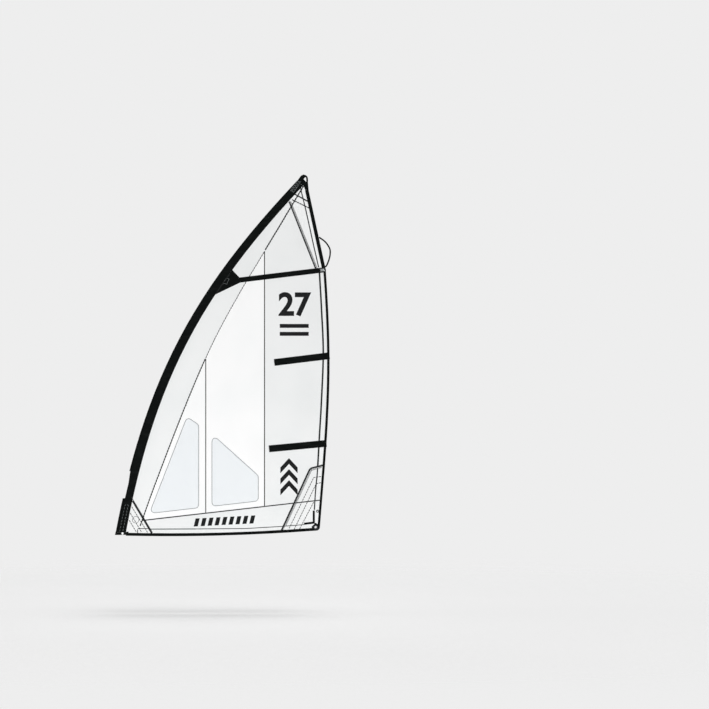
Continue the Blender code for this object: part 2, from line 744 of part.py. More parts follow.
def wall_place(height, chord, side):
    # A frame on the outer face of the sleeve's side, with its Z square to that face
    step = 0.002
    here = on_section(height, [(chord, side * wall_y(height, chord))])[0]
    aft = on_section(height, [(chord + step, side * wall_y(height, chord + step))])[0] - here
    up = on_section(height + step, [(chord, side * wall_y(height + step, chord))])[0] - here
    out = aft.cross(up).normalized()
    if out.y * side < 0:
        out = -out
    aft.normalize()
    return Matrix.Translation(here) @ Matrix((aft, out.cross(aft), out)).transposed().to_4x4()


def build_tack():
    rings = []
    for height in (0, HEM_HEIGHT):
        ring = hem_line(height, 0) + hem_line(height, HEM_CLOTH)[::-1]
        rings.append(on_section(height, ring))
    hem = loft("mouth_hem", "black", rings)

    barrel = TACK_EYELET_BORE + BARREL_WALL
    for face, side in FACES:
        rings = []
        shoulder = TACK_WEBBING_WIDTH / 4
        low, top = HEM_HEIGHT + GAP, TACK_WEBBING_TOP
        for height, narrowing in (
            (low, 0), ((low + top) / 2, 0), (top - shoulder, 0),
            (top - shoulder / 3, shoulder / 2), (top, shoulder),
        ):
            front, back = TACK_WEBBING_FRONT + narrowing, TACK_WEBBING_FRONT + TACK_WEBBING_WIDTH - narrowing
            outer = [(front, wall_y(height, front) + GAP), (back, wall_y(height, back) + GAP)]
            thick = [(chord, y + TACK_WEBBING) for chord, y in outer[::-1]]
            rings.append(on_section(height, [(chord, side * y) for chord, y in outer + thick]))
        loft(f"tack_webbing_{face}", "black", rings)

        place = wall_place(TACK_EYELET_HEIGHT, TACK_EYELET_CHORD, side)
        hole = round_cutter(f"tack_hole_{face}", barrel + GAP, PUNCH_REACH, place)
        combine(bpy.data.objects[f"sleeve_side_lower_{face}"], hole)
        combine(hem, hole)
        spool(
            f"tack_eyelet_{face}", "steel", TACK_EYELET_BORE, barrel, TACK_EYELET_FLANGE,
            -CLOTH - GAP, HEM_CLOTH + 2 * GAP, place, roughness=0.3, metallic=1.0,
        )


# Edge tapes


def tape(name, start, stop):
    outer = layer(1) + CLOTH
    inner = layer(1)
    profile = [
        (TAPE_WIDTH, -outer), (0, -outer), (0, outer), (TAPE_WIDTH, outer),
        (TAPE_WIDTH, inner), (TAPE_FOLD, inner), (TAPE_FOLD, -inner), (TAPE_WIDTH, -inner),
    ]
    lines = {depth: edge_run(start, stop, depth) for depth, _ in profile}
    count = len(lines[0])
    rings = [[(lines[d][i][0], y, lines[d][i][1]) for d, y in profile] for i in range(count)]
    return loft(name, "black", rings)


def build_tapes():
    batten_reach = leech_reach(TOP_BATTEN_HEIGHT)
    tape("leech_tape_upper", 0, batten_reach - GAP / 2)
    lower = tape("leech_tape_lower", batten_reach + GAP / 2, EDGE_CORNER - GAP / 2)
    foot = tape("foot_tape", EDGE_CORNER + GAP / 2, EDGE_END)
    for thing in (lower, foot):
        pierce(thing, ("clew_ring_hole",))


# Patches on both faces


def above_tape(depth):
    # A point just past the top end of the leech tape
    end, below = np.array(edge_point(0, depth)), np.array(edge_point(TAPE_WIDTH, depth))
    return tuple(end + (end - below) / np.linalg.norm(end - below) * GAP)


def build_patches():
    corner = [head_point(*p) for p in HEAD_CORNER]
    corner += [above_tape(HEAD_STRAP_WIDTH / 2), above_tape(INSIDE_TAPE)]
    corner += [*edge_run(TAPE_WIDTH, HEAD_CORNER_REACH, INSIDE_TAPE), head_point(*HEAD_CORNER_NOTCH)]
    luff_reach = x_at(PATCH_LUFF, LUFF_PATCH_TOP) + LUFF_PATCH_REACH
    patch_end = Matrix.Translation((luff_reach, 0, top_axis_z(luff_reach))) @ batten_turn(TOP_BATTEN_RISE)
    outlines = {
        "tack_patch": ("grey_cloth", [
            *between(PATCH_LUFF, TACK_PATCH_HEIGHT, TAPE_WIDTH),
            *edge_run(EDGE_END, foot_reach(TACK_PATCH_REACH), INSIDE_TAPE),
        ]),
        "clew_patch": ("grey_cloth", [
            CLEW_PATCH_KNEE,
            *edge_run(leech_reach(CLEW_PATCH_HEIGHT), foot_reach(CLEW_PATCH_REACH), INSIDE_TAPE),
        ]),
        "luff_patch": ("black", [
            *between(PATCH_LUFF, LUFF_PATCH_FOOT, LUFF_PATCH_TOP),
            *in_frame(patch_end, [(0, TOP_POCKET_WIDTH / 2), (0, -TOP_POCKET_WIDTH / 2)]),
        ]),
        "head_patch": ("grey_cloth", [
            *between(PATCH_LUFF, HEAD[1] - HEAD_PATCH_LUFF_DROP, float(PATCH_LUFF[-1, 1])),
            head_point(*HEAD_PATCH_TIP),
            *edge_run(HEAD_PATCH_START, leech_reach(HEAD[1] - HEAD_PATCH_LEECH_DROP), INSIDE_TAPE),
        ]),
        "head_corner": ("black", corner),
    }
    for face, side in FACES:
        for name, (colour, outline) in outlines.items():
            made = plate(f"{name}_{face}", colour, outline, *span(1, side))
            if name == "clew_patch":
                pierce(made)


# Clew hardware


def build_clew():
    diamond = [(CLEW_RING_X + x, CLEW_RING_Z + z) for x, z in CLEW_REINFORCEMENT]
    route = [(CLEW_RING_X + x, CLEW_RING_Z + z) for x, z in CLEW_STRAP_ROUTE]
    strap = band(route, CLEW_STRAP_WIDTH)
    for face, side in FACES:
        pierce(plate(f"clew_reinforcement_{face}", "black", diamond, *span(2, side)), ("clew_ring_hole",))
        plate(f"clew_strap_{face}", "black", strap, *span(2, side, HEM_CLOTH))
    spool(
        "clew_ring", "dark_steel", CLEW_RING_BORE, CLEW_RING_BORE + BARREL_WALL, CLEW_RING_FLANGE,
        -layer(3), layer(3), RING_PLACE, roughness=0.3, metallic=1.0,
    )
    spool(
        "leech_eyelet", "steel", LEECH_EYELET_BORE, LEECH_EYELET_BORE + BARREL_WALL,
        LEECH_EYELET_FLANGE, -layer(2), layer(2), EYELET_PLACE, roughness=0.3, metallic=1.0,
    )


# Battens and their pockets. Each has a frame at the leech: X aft along the batten, Z up across it.


def top_axis_z(x):
    return TOP_BATTEN_HEIGHT + (x - LEECH_BATTEN_X) * math.tan(TOP_BATTEN_RISE)


def batten_turn(rise):
    return Matrix.Rotation(-rise, 4, "Y")


def batten_frame(height, rise):
    return Matrix.Translation((leech_x(height), 0, height)) @ batten_turn(rise)


def in_frame(frame, points):
    placed = [frame @ Vector((x, 0, z)) for x, z in points]
    return [(p.x, p.z) for p in placed]


def pocket_strip(frame, start, stop, half):
    # A strip under a batten. Its aft end follows the tape's inner edge, or is square.
    low, high = in_frame(frame, [(start, -half), (start, half)])
    if stop is not None:
        return [low, *in_frame(frame, [(stop, -half), (stop, half)]), high]
    aft = []
    for corner in in_frame(frame, [(0, -half), (0, half)]):
        height = corner[1]
        for _ in range(3):
            x = leech_x(height, INSIDE_TAPE)
            height = corner[1] + (x - corner[0]) * math.tan(rise_of(frame))
        aft.append((x, height))
    return [low, *aft, high]


def rise_of(frame):
    return math.atan2(frame.col[0][2], frame.col[0][0])


def stations(start, stop):
    # Places along a long straight piece
    return np.linspace(start, stop, 2 + int(abs(stop - start) / STATION_SPACING))


FLOOR = layer(2) - GAP
BATTEN_NEAR = FLOOR + BATTEN_CLEARANCE
BATTEN_FAR = BATTEN_NEAR + BATTEN_THICKNESS
CROWN = BATTEN_FAR + BATTEN_CLEARANCE


def build_batten(name, height, rise, start, stop, half, batten_stop, overlap=0.0):
    # Places are distances aft of the leech edge, so they are negative
    frame = batten_frame(height, rise)
    for face, side in FACES:
        plate(f"{name}_pocket_back_{face}", "black", pocket_strip(frame, start, None, half), *span(1, side))

    inner = BATTEN_WIDTH / 2 + BATTEN_CLEARANCE
    outer = inner + POCKET_SIDE_RUN
    low = layer(2)
    profile = [
        (half, low), (outer, low), (inner, CROWN), (-inner, CROWN), (-outer, low), (-half, low),
        (-half, low + CLOTH), (-outer, low + CLOTH), (-inner, CROWN + CLOTH),
        (inner, CROWN + CLOTH), (outer, low + CLOTH), (half, low + CLOTH),
    ]
    rings = [[(x, -y, z) for z, y in profile] for x in stations(start - overlap, stop)]
    loft(f"{name}_pocket", "black", rings, place=frame)

    batten_start = start + BATTEN_INNER_END
    middle = -(BATTEN_NEAR + BATTEN_FAR) / 2
    origin = frame @ Matrix.Translation((batten_start, middle, 0))
    length = batten_stop - CAP_LENGTH - GAP - batten_start
    half_width, half_thick = BATTEN_WIDTH / 2, BATTEN_THICKNESS / 2
    profile = [
        (half_width, half_thick), (-half_width, half_thick), (-half_width, -half_thick),
        (half_width, -half_thick),
    ]
    rings = [[(x, y, z) for z, y in profile] for x in stations(0, length)]
    batten = loft(name, "fibreglass", rings, place=origin, roughness=0.4)
    outline = [(0, -half_width), (CAP_LENGTH / 2, -half_width), (CAP_LENGTH, -half_width * CAP_TAPER)]
    outline += [(x, -z) for x, z in outline[::-1]]
    cap = plate(f"{name}_end_cap", "black_plastic", outline, -half_thick, half_thick)
    cap.parent = batten
    cap.location = (length + GAP, 0, 0)
    return frame


def build_battens():
    half_short, half_top = SHORT_POCKET_WIDTH / 2, TOP_POCKET_WIDTH / 2
    build_batten(
        "batten_mid", MID_BATTEN_HEIGHT, MID_BATTEN_RISE, -MID_POCKET_LENGTH, 0, half_short, -BATTEN_SETBACK
    )
    build_batten(
        "batten_low", LOW_BATTEN_HEIGHT, LOW_BATTEN_RISE, -LOW_POCKET_LENGTH, 0, half_short, -BATTEN_SETBACK
    )
    patch_end = x_at(PATCH_LUFF, LUFF_PATCH_TOP) + LUFF_PATCH_REACH + GAP
    top_start = (patch_end - LEECH_BATTEN_X) / math.cos(TOP_BATTEN_RISE)
    frame = build_batten(
        "batten_top", TOP_BATTEN_HEIGHT, TOP_BATTEN_RISE, top_start,
        -TENSIONER_SETBACK - TENSIONER_LENGTH - GAP, half_top, -TOP_BATTEN_SETBACK, TOP_POCKET_OVERLAP,
    )
    build_tensioner(frame)


def build_tensioner(frame):
    # A bridge over the batten's end with two lugs, a cam lever between them, and the webbing under the lever
    stop, start = -TENSIONER_SETBACK, -TENSIONER_SETBACK - TENSIONER_LENGTH
    half = TENSIONER_WIDTH / 2
    inner = half - 2 * TENSIONER_WALL
    low, roof = layer(2), CROWN + TENSIONER_WALL
    webbing = roof + GAP
    lever_low = webbing + TENSION_WEBBING + GAP
    pin_y = lever_low + LEVER_THICKNESS / 2
    pin_x = stop - TENSIONER_LENGTH / 4
    lug_inner = LEVER_WIDTH / 2 + GAP
    lug_outer = lug_inner + LUG_THICKNESS
    lug_top = pin_y + LUG_HALF

    profile = [
        (inner, low), (inner, CROWN), (-inner, CROWN), (-inner, low),
        (-half, low), (-half, roof), (half, roof), (half, low),
    ]
    rings = [[(x, -y, z) for z, y in profile] for x in (start, stop)]
    base = loft("tensioner_base", "black_plastic", rings, place=frame)
    mesh = bmesh.new()
    for near, far in ((-lug_outer, -lug_inner), (lug_inner, lug_outer)):
        block(mesh, (pin_x - LUG_HALF, -lug_top, near), (pin_x + LUG_HALF, -roof + TENSIONER_WALL / 2, far))
    combine(base, helper(add_object("tensioner_lugs", mesh, "black_plastic", place=frame)), "UNION")
    pin_place = frame @ Matrix.Translation((pin_x, -pin_y, 0))
    bore = round_cutter("tensioner_pin_hole", PIN_RADIUS + PIN_CLEARANCE, lug_outer + LUG_THICKNESS, pin_place)
    combine(base, bore)

    mesh = bmesh.new()
    bmesh.ops.create_cone(
        mesh, cap_ends=True, segments=16, radius1=PIN_RADIUS, radius2=PIN_RADIUS, depth=2 * lug_outer
    )
    add_object("tensioner_pin", mesh, "steel", place=pin_place, roughness=0.3, metallic=1.0, smooth=True)

    # The lever lies forward over the webbing at rest. Its origin is on the pin's axis.
    eye = LEVER_THICKNESS / 2
    outline = [(eye * math.cos(t), eye * math.sin(t)) for t in np.linspace(-math.pi / 2, math.pi / 2, 7)]
    outline += [(-LEVER_LENGTH, eye), (-LEVER_LENGTH - LEVER_TIP, 0), (-LEVER_LENGTH, -eye)]
    mesh = bmesh.new()
    ends = []
    for z in (-LEVER_WIDTH / 2, LEVER_WIDTH / 2):
        ends.append([mesh.verts.new((x, -y, z)) for x, y in outline])
    for i in range(len(outline)):
        mesh.faces.new((ends[0][i - 1], ends[0][i], ends[1][i], ends[1][i - 1]))
    mesh.faces.new(ends[0])
    mesh.faces.new(ends[1])
    lever = add_object("tensioner_lever", mesh, "grey_plastic", place=pin_place)
    combine(lever, round_cutter("lever_bore", PIN_RADIUS + PIN_CLEARANCE, LEVER_WIDTH, pin_place))

    # Webbing: from under the lever, round the batten's end, to its tail on the starboard face
    turn = TENSION_WEBBING + GAP
    back = layer(2)
    path = [
        (start, -webbing), (GAP, -webbing), (GAP, back), (-TENSION_TAIL, back),
        (-TENSION_TAIL, back + TENSION_WEBBING), (turn, back + TENSION_WEBBING),
        (turn, -webbing - TENSION_WEBBING), (start, -webbing - TENSION_WEBBING),
    ]
    rings = [[(x, y, z) for x, y in path] for z in (-TENSION_WEBBING_WIDTH / 2, TENSION_WEBBING_WIDTH / 2)]
    loft("tension_webbing", "black", rings, place=frame)

    # The bowed strap, sewn on the leech tape above the tensioner and again higher up
    loop = [(LEECH_BATTEN_X + x, TOP_BATTEN_HEIGHT + z) for x, z in LOOP_ROUTE]
    route = smooth_line(loop, 28)
    plate("leech_loop", "black", band(route, LOOP_WIDTH), *span(2, -1, LOOP_THICKNESS))


# Head: a sewn cap for the mast's tip, and the strap over it to the leech


def build_head():
    # The cap, hollow and open below for the mast's tip
    def cap_rings(wall, foot, sections):
        made = []
        for above, front, aft, half in sections:
            centre, reach = (front + aft) / 2, (aft - front) / 2 - wall
            turns = [2 * math.pi * step / 20 for step in range(20)]
            ring = []
            for turn in turns:
                x, z = head_point(centre + reach * math.cos(turn), above + foot)
                ring.append((x, (half - wall) * math.sin(turn), z))
            made.append(ring)
            foot = 0.0
        return made

    cap = loft("head_cap", "black", cap_rings(0.0, 0.0, CAP_SECTIONS), smooth=True)
    inside = list(CAP_SECTIONS)
    inside[-1] = (inside[-1][0] - CAP_WALL, *inside[-1][1:])
    bore = loft("head_cap_bore", "black", cap_rings(CAP_WALL, -2 * CAP_WALL, inside))
    combine(cap, helper(bore))

    # The strap, in the sail's plane, forked over the leech
    route = smooth_line([head_point(*p) for p in HEAD_STRAP_ARCH], 14)
    route += edge_run(HEAD_STRAP_START, HEAD_STRAP_TAIL, HEAD_STRAP_WIDTH / 2)
    half = layer(2) + HEM_CLOTH
    strap = plate("head_strap", "black", band(route, HEAD_STRAP_WIDTH), -half, half)
    mesh = bmesh.new()
    block(mesh, (HEAD[0], -layer(2), TOP_BATTEN_HEIGHT), (LEECH_BATTEN_X, layer(2), HEAD_STRAP_FORK))
    combine(strap, helper(add_object("head_strap_fork", mesh, "black")))


clear_scene()
add_punches()
build_panels()
build_sleeve()
build_tack()
build_tapes()
build_patches()
build_clew()
build_battens()
build_head()
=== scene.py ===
import math

import bmesh
import bpy
from mathutils import Matrix, Vector
from mathutils.bvhtree import BVHTree


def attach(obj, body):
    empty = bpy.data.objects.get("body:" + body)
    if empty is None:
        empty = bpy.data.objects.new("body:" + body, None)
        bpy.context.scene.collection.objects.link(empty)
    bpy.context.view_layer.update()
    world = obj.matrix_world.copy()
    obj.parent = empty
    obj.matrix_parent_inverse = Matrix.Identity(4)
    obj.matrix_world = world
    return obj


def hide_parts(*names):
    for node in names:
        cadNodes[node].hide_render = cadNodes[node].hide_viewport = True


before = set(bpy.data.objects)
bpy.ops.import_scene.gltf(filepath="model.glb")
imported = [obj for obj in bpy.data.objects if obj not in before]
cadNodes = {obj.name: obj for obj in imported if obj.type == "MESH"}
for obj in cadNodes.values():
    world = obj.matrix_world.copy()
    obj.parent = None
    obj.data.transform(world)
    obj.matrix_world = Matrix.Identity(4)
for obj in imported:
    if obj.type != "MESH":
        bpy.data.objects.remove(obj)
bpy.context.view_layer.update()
print("frame loaded:", len(cadNodes), "nodes")


# Camera, floor and light

studio = {
    "lookAt": (2.535, 1.930),
    "frameWidth": 7.586,
    "lens": 200,
    "sensor": 36,
    "clip": (1, 500),
    "ground": "#EEEEEE",
    "floorMiddle": 1.1,
    "floorHeight": -0.84,
    "floorFadeFrom": 3.5,
    "floorFadeTo": 12.0,
    "skyLight": 0.268,
    "suns": {  # name: turn from the vertical about X, Y and Z, spread, brightness
        "front overhead": (8, 12, 0, 40, 1.03),
        "back overhead": (-8, 10, 0, 40, 1.11),
        "front fill": (88, 0, 22, 16, 1.61),
        "back fill": (-88, 0, 22, 16, 1.61),
    },
}


def fromHex(text):
    # an sRGB colour as linear red, green, blue and alpha
    channels = [int(text[i:i + 2], 16) / 255 for i in (1, 3, 5)]
    return (*[c / 12.92 if c <= 0.04045 else ((c + 0.055) / 1.055) ** 2.4 for c in channels], 1.0)


def addNode(tree, kind, settings=None, links=None):
    node = tree.nodes.new(kind)
    for key, value in (settings or {}).items():
        if isinstance(key, int) or key in node.inputs:
            node.inputs[key].default_value = value
        else:
            setattr(node, key, value)
    for key, source in (links or {}).items():
        tree.links.new(source, node.inputs[key])
    return node


def combine(tree, operation, first, second):
    return addNode(tree, "ShaderNodeMath", {"operation": operation}, {0: first, 1: second}).outputs[0]


def addObject(name, data):
    thing = bpy.data.objects.new(name, data)
    bpy.context.scene.collection.objects.link(thing)
    return thing


def setCamera():
    data = bpy.data.cameras.new("camera")
    data.lens, data.sensor_width = studio["lens"], studio["sensor"]
    data.clip_start, data.clip_end = studio["clip"]
    camera = addObject("camera", data)
    x, z = studio["lookAt"]
    away = studio["frameWidth"] * data.lens / data.sensor_width
    camera.location = (x, -away, z)
    camera.rotation_euler = (math.radians(90), 0, 0)
    bpy.context.scene.camera = camera


def setLight():
    world = bpy.data.worlds.new("studio")
    bpy.context.scene.world = world
    world.use_nodes = True
    tree = world.node_tree
    tree.nodes.clear()
    rays = addNode(tree, "ShaderNodeLightPath").outputs
    seen = combine(tree, "MAXIMUM", rays["Is Camera Ray"], rays["Is Glossy Ray"])
    seen = combine(tree, "MAXIMUM", seen, rays["Is Transmission Ray"])
    light = addNode(tree, "ShaderNodeBackground", {"Color": (1, 1, 1, 1), "Strength": studio["skyLight"]})
    ground = addNode(tree, "ShaderNodeBackground", {"Color": fromHex(studio["ground"]), "Strength": 1.0})
    mixed = addNode(tree, "ShaderNodeMixShader", None, {
        0: seen, 1: light.outputs[0], 2: ground.outputs[0]})
    addNode(tree, "ShaderNodeOutputWorld", None, {"Surface": mixed.outputs[0]})
    for name, (turnX, turnY, turnZ, spread, strength) in studio["suns"].items():
        data = bpy.data.lights.new(name, "SUN")
        data.energy, data.angle = strength, math.radians(spread)
        sun = addObject(name, data)
        sun.rotation_euler = (math.radians(turnX), math.radians(turnY), math.radians(turnZ))


def layFloor():
    # plain pale floor that fades out far from the object, into the same colour behind it
    mesh = bmesh.new()
    reach = studio["floorFadeTo"] + 1
    centre = Vector((studio["floorMiddle"], 0, studio["floorHeight"]))
    bmesh.ops.create_grid(mesh, x_segments=2, y_segments=2, size=reach, matrix=Matrix.Translation(centre))
    data = bpy.data.meshes.new("floor")
    mesh.to_mesh(data)
    mesh.free()
    floor = addObject("floor", data)
    made = bpy.data.materials.new("floor paper")
    made.use_nodes = True
    tree = made.node_tree
    tree.nodes.clear()
    place = addNode(tree, "ShaderNodeTexCoord")
    away = addNode(tree, "ShaderNodeVectorMath", {"operation": "DISTANCE", 1: centre}, {
        0: place.outputs["Object"]})
    fade = addNode(tree, "ShaderNodeMapRange", {
        "interpolation_type": "SMOOTHSTEP", 1: studio["floorFadeFrom"], 2: studio["floorFadeTo"],
    }, {0: away.outputs["Value"]})
    paper = addNode(tree, "ShaderNodeBsdfDiffuse", {"Color": fromHex(studio["ground"])})
    clear = addNode(tree, "ShaderNodeBsdfTransparent")
    mixed = addNode(tree, "ShaderNodeMixShader", None, {
        0: fade.outputs[0], 1: paper.outputs[0], 2: clear.outputs[0]})
    addNode(tree, "ShaderNodeOutputMaterial", None, {"Surface": mixed.outputs[0]})
    data.materials.append(made)


setCamera()
setLight()
layFloor()
bpy.context.scene.view_settings.view_transform = "Standard"
print("camera, light and floor set")


# Materials

waveUnit = 0.31416  # the wave texture's period in metres at scale 1


def startMaterial(name, colour, roughness, metallic=0.0, **sockets):
    made = bpy.data.materials.new(name)
    made.use_nodes = True
    tree = made.node_tree
    shader = tree.nodes["Principled BSDF"]
    shader.inputs["Base Color"].default_value = fromHex(colour)
    shader.inputs["Roughness"].default_value = roughness
    shader.inputs["Metallic"].default_value = metallic
    for socket, value in sockets.items():
        shader.inputs[socket.replace("_", " ")].default_value = value
    return made, tree, shader, addNode(tree, "ShaderNodeTexCoord").outputs["Object"]


def wave(tree, place, direction, period):
    # bands of that period in metres, from 0 to 1
    return addNode(tree, "ShaderNodeTexWave", {"bands_direction": direction, "Scale": waveUnit / period}, {
        "Vector": place}).outputs["Fac"]


def noise(tree, place, size, detail=3.0):
    # a cloudy pattern whose patches are about that size in metres
    return addNode(tree, "ShaderNodeTexNoise", {"Scale": 1 / size, "Detail": detail}, {
        "Vector": place}).outputs["Fac"]


def leanPlace(tree, place, lean=0, stretch=(1, 1, 1)):
    # the same places turned about Y by that many degrees and stretched
    return addNode(tree, "ShaderNodeMapping", {
        "Rotation": (0, math.radians(lean), 0), "Scale": stretch}, {"Vector": place}).outputs[0]


def mixColour(tree, factor, first, second):
    return addNode(tree, "ShaderNodeMix", {"data_type": "RGBA", 6: fromHex(first), 7: fromHex(second)}, {
        0: factor}).outputs[2]


def spread(tree, value, low, high, to=(0, 1)):
    return addNode(tree, "ShaderNodeMapRange", {1: low, 2: high, 3: to[0], 4: to[1]}, {
        0: value}).outputs[0]


def relief(tree, shader, heights):
    # one bump after another, each (height, depth in metres, strength)
    normal = None
    for height, depth, strength in heights:
        bump = addNode(tree, "ShaderNodeBump", {"Distance": depth, "Strength": strength}, {"Height": height})
        if normal:
            tree.links.new(normal, bump.inputs["Normal"])
        normal = bump.outputs["Normal"]
    tree.links.new(normal, shader.inputs["Normal"])


# The values above each material are the sizes of its patterns in metres, and leans in degrees

laminate = {"yarn": 0.008, "crinkle": 0.16, "cloud": 0.55}


def laminateCloth(name, colour, yarnColour, cloudColour):
    # Polyester laminate, film bonded over a square scrim: smooth, faintly glossy, with a yarn grid that shows
    # close up and soft crinkles from rolling
    made, tree, shader, place = startMaterial(name, colour, 0.42, Specular_IOR_Level=0.25)
    grid = combine(tree, "MAXIMUM", wave(tree, place, "X", laminate["yarn"]),
                   wave(tree, place, "Z", laminate["yarn"]))
    yarn = spread(tree, grid, 0.93, 1.0)
    cloud = spread(tree, noise(tree, place, laminate["cloud"], 2.0), 0.45, 0.75)
    base = mixColour(tree, cloud, colour, cloudColour)
    lined = addNode(tree, "ShaderNodeMix", {"data_type": "RGBA", 7: fromHex(yarnColour)}, {
        0: spread(tree, yarn, 0, 1, (0, 0.5)), 6: base}).outputs[2]
    tree.links.new(lined, shader.inputs["Base Color"])
    crinkle = noise(tree, place, laminate["crinkle"], 2.5)
    tree.links.new(spread(tree, crinkle, 0.3, 0.7, (0.36, 0.5)), shader.inputs["Roughness"])
    relief(tree, shader, [(crinkle, 0.012, 0.10), (yarn, 0.00025, 0.5)])
    return made


film = {"scratch": 0.05, "scratchStretch": (9, 9, 1.2), "billow": 0.22}


def clearFilm():
    # Polyester window film, calendered: clear, hard gloss, a pale cast and fine handling scratches
    made, tree, shader, place = startMaterial(
        "window film, calendered polyester", "#F4F8FB", 0.10, IOR=1.58, Alpha=0.52)
    scratch = noise(tree, leanPlace(tree, place, stretch=film["scratchStretch"]), film["scratch"], 6.0)
    tree.links.new(spread(tree, scratch, 0.35, 0.75, (0.07, 0.24)), shader.inputs["Roughness"])
    relief(tree, shader, [(noise(tree, place, film["billow"], 1.5), 0.010, 0.10)])
    return made


coating = {"thread": 0.0024, "fold": 0.12, "foldLean": -28, "foldStretch": (1, 1, 4), "dust": 0.35}


def coatedCloth(name, colour, wornColour, dustColour):
    # Coated woven polyester: matt black, a plain weave under the coating (drawn coarser than the real
    # 0.5 mm so that it shows), paler where folds and edges rub
    made, tree, shader, place = startMaterial(name, colour, 0.62, Specular_IOR_Level=0.03)
    threads = combine(tree, "MULTIPLY", wave(tree, place, "X", coating["thread"]),
                      wave(tree, place, "Z", coating["thread"]))
    folds = noise(tree, leanPlace(tree, place, coating["foldLean"], coating["foldStretch"]), coating["fold"])
    dust = spread(tree, noise(tree, place, coating["dust"], 4.0), 0.5, 0.8)
    base = mixColour(tree, spread(tree, folds, 0.52, 0.74), colour, wornColour)
    dusted = addNode(tree, "ShaderNodeMix", {"data_type": "RGBA", 7: fromHex(dustColour)}, {
        0: spread(tree, dust, 0, 1, (0, 0.35)), 6: base}).outputs[2]
    tree.links.new(dusted, shader.inputs["Base Color"])
    tree.links.new(spread(tree, folds, 0.3, 0.7, (0.68, 0.5)), shader.inputs["Roughness"])
    relief(tree, shader, [(folds, 0.010, 0.18), (threads, 0.0005, 0.6)])
    return made


twillTape = {"rib": 0.0026, "crossRib": 0.0052, "lean": 45, "rub": 0.06}


def webbing():
    # Woven polyester tape and webbing: a matt twill of black yarns, rubbed grey on the ribs
    made, tree, shader, place = startMaterial(
        "webbing, woven polyester", "#0B0E0D", 0.75, Specular_IOR_Level=0.03)
    leant = leanPlace(tree, place, twillTape["lean"])
    ribs = wave(tree, leant, "X", twillTape["rib"])
    cross = wave(tree, leant, "Z", twillTape["crossRib"])
    twill = combine(tree, "MULTIPLY", ribs, spread(tree, cross, 0, 1, (0.5, 1)))
    rub = spread(tree, noise(tree, place, twillTape["rub"], 4.0), 0.5, 0.75)
    lit = combine(tree, "MULTIPLY", rub, spread(tree, twill, 0.4, 1.0))
    tree.links.new(mixColour(tree, lit, "#0B0E0D", "#1E2221"), shader.inputs["Base Color"])
    relief(tree, shader, [(twill, 0.0006, 0.8)])
    return made


threadLay = 0.0015


def sewingThread(name, colour):
    # Bonded polyester thread: a tight round lay, slightly waxy
    made, tree, shader, place = startMaterial(name, colour, 0.5, Specular_IOR_Level=0.1)
    relief(tree, shader, [(wave(tree, place, "DIAGONAL", threadLay), 0.0003, 0.6)])
    return made


steelSkin = {"bloom": 0.008, "burnish": 0.0015}


def stampedSteel(name, colour, roughness):
    # Pressed stainless steel: bright, with fine burnish marks and a dull, salty bloom
    made, tree, shader, place = startMaterial(name, colour, roughness, metallic=1.0)
    bloom = noise(tree, place, steelSkin["bloom"], 4.0)
    tree.links.new(spread(tree, bloom, 0.35, 0.7, (roughness - 0.08, roughness + 0.16)),
                   shader.inputs["Roughness"])
    relief(tree, shader, [(noise(tree, place, steelSkin["burnish"], 2.0), 0.0001, 0.35)])
    return made


nylonSkin = {"grain": 0.0012, "rub": 0.014}


def mouldedNylon(name, colour, rubbed):
    # Injection-moulded nylon: satin with a fine spark-eroded grain, paler on the rubbed high spots
    made, tree, shader, place = startMaterial(name, colour, 0.5)
    rub = spread(tree, noise(tree, place, nylonSkin["rub"]), 0.5, 0.75)
    tree.links.new(mixColour(tree, rub, colour, rubbed), shader.inputs["Base Color"])
    relief(tree, shader, [(noise(tree, place, nylonSkin["grain"], 2.0), 0.0002, 0.4)])
    return made


rod = {"lean": 6.8, "fibresPerMetre": (4, 300, 700)}


def pultrudedGlass():
    # Pultruded glass fibre: straw-coloured resin with long pale fibres along the batten
    made, tree, shader, place = startMaterial("batten, pultruded glass fibre", "#D8D2B4", 0.32, IOR=1.52)
    fibres = noise(tree, leanPlace(tree, place, rod["lean"], rod["fibresPerMetre"]), 1.0)
    tree.links.new(mixColour(tree, fibres, "#C9C19C", "#E9E5CF"), shader.inputs["Base Color"])
    relief(tree, shader, [(fibres, 0.0001, 0.4)])
    return made


vinyl = {"cloud": 0.03, "emboss": 0.002}


def printedFilm():
    # Number film, cut from calendered vinyl with a matt face: almost black, with a faint emboss
    made, tree, shader, place = startMaterial(
        "number film, matt vinyl", "#121314", 0.6, Specular_IOR_Level=0.1)
    cloud = spread(tree, noise(tree, place, vinyl["cloud"], 4.0), 0.45, 0.7)
    tree.links.new(mixColour(tree, cloud, "#121314", "#1A1C1D"), shader.inputs["Base Color"])
    relief(tree, shader, [(noise(tree, place, vinyl["emboss"], 2.0), 0.0002, 0.3)])
    return made


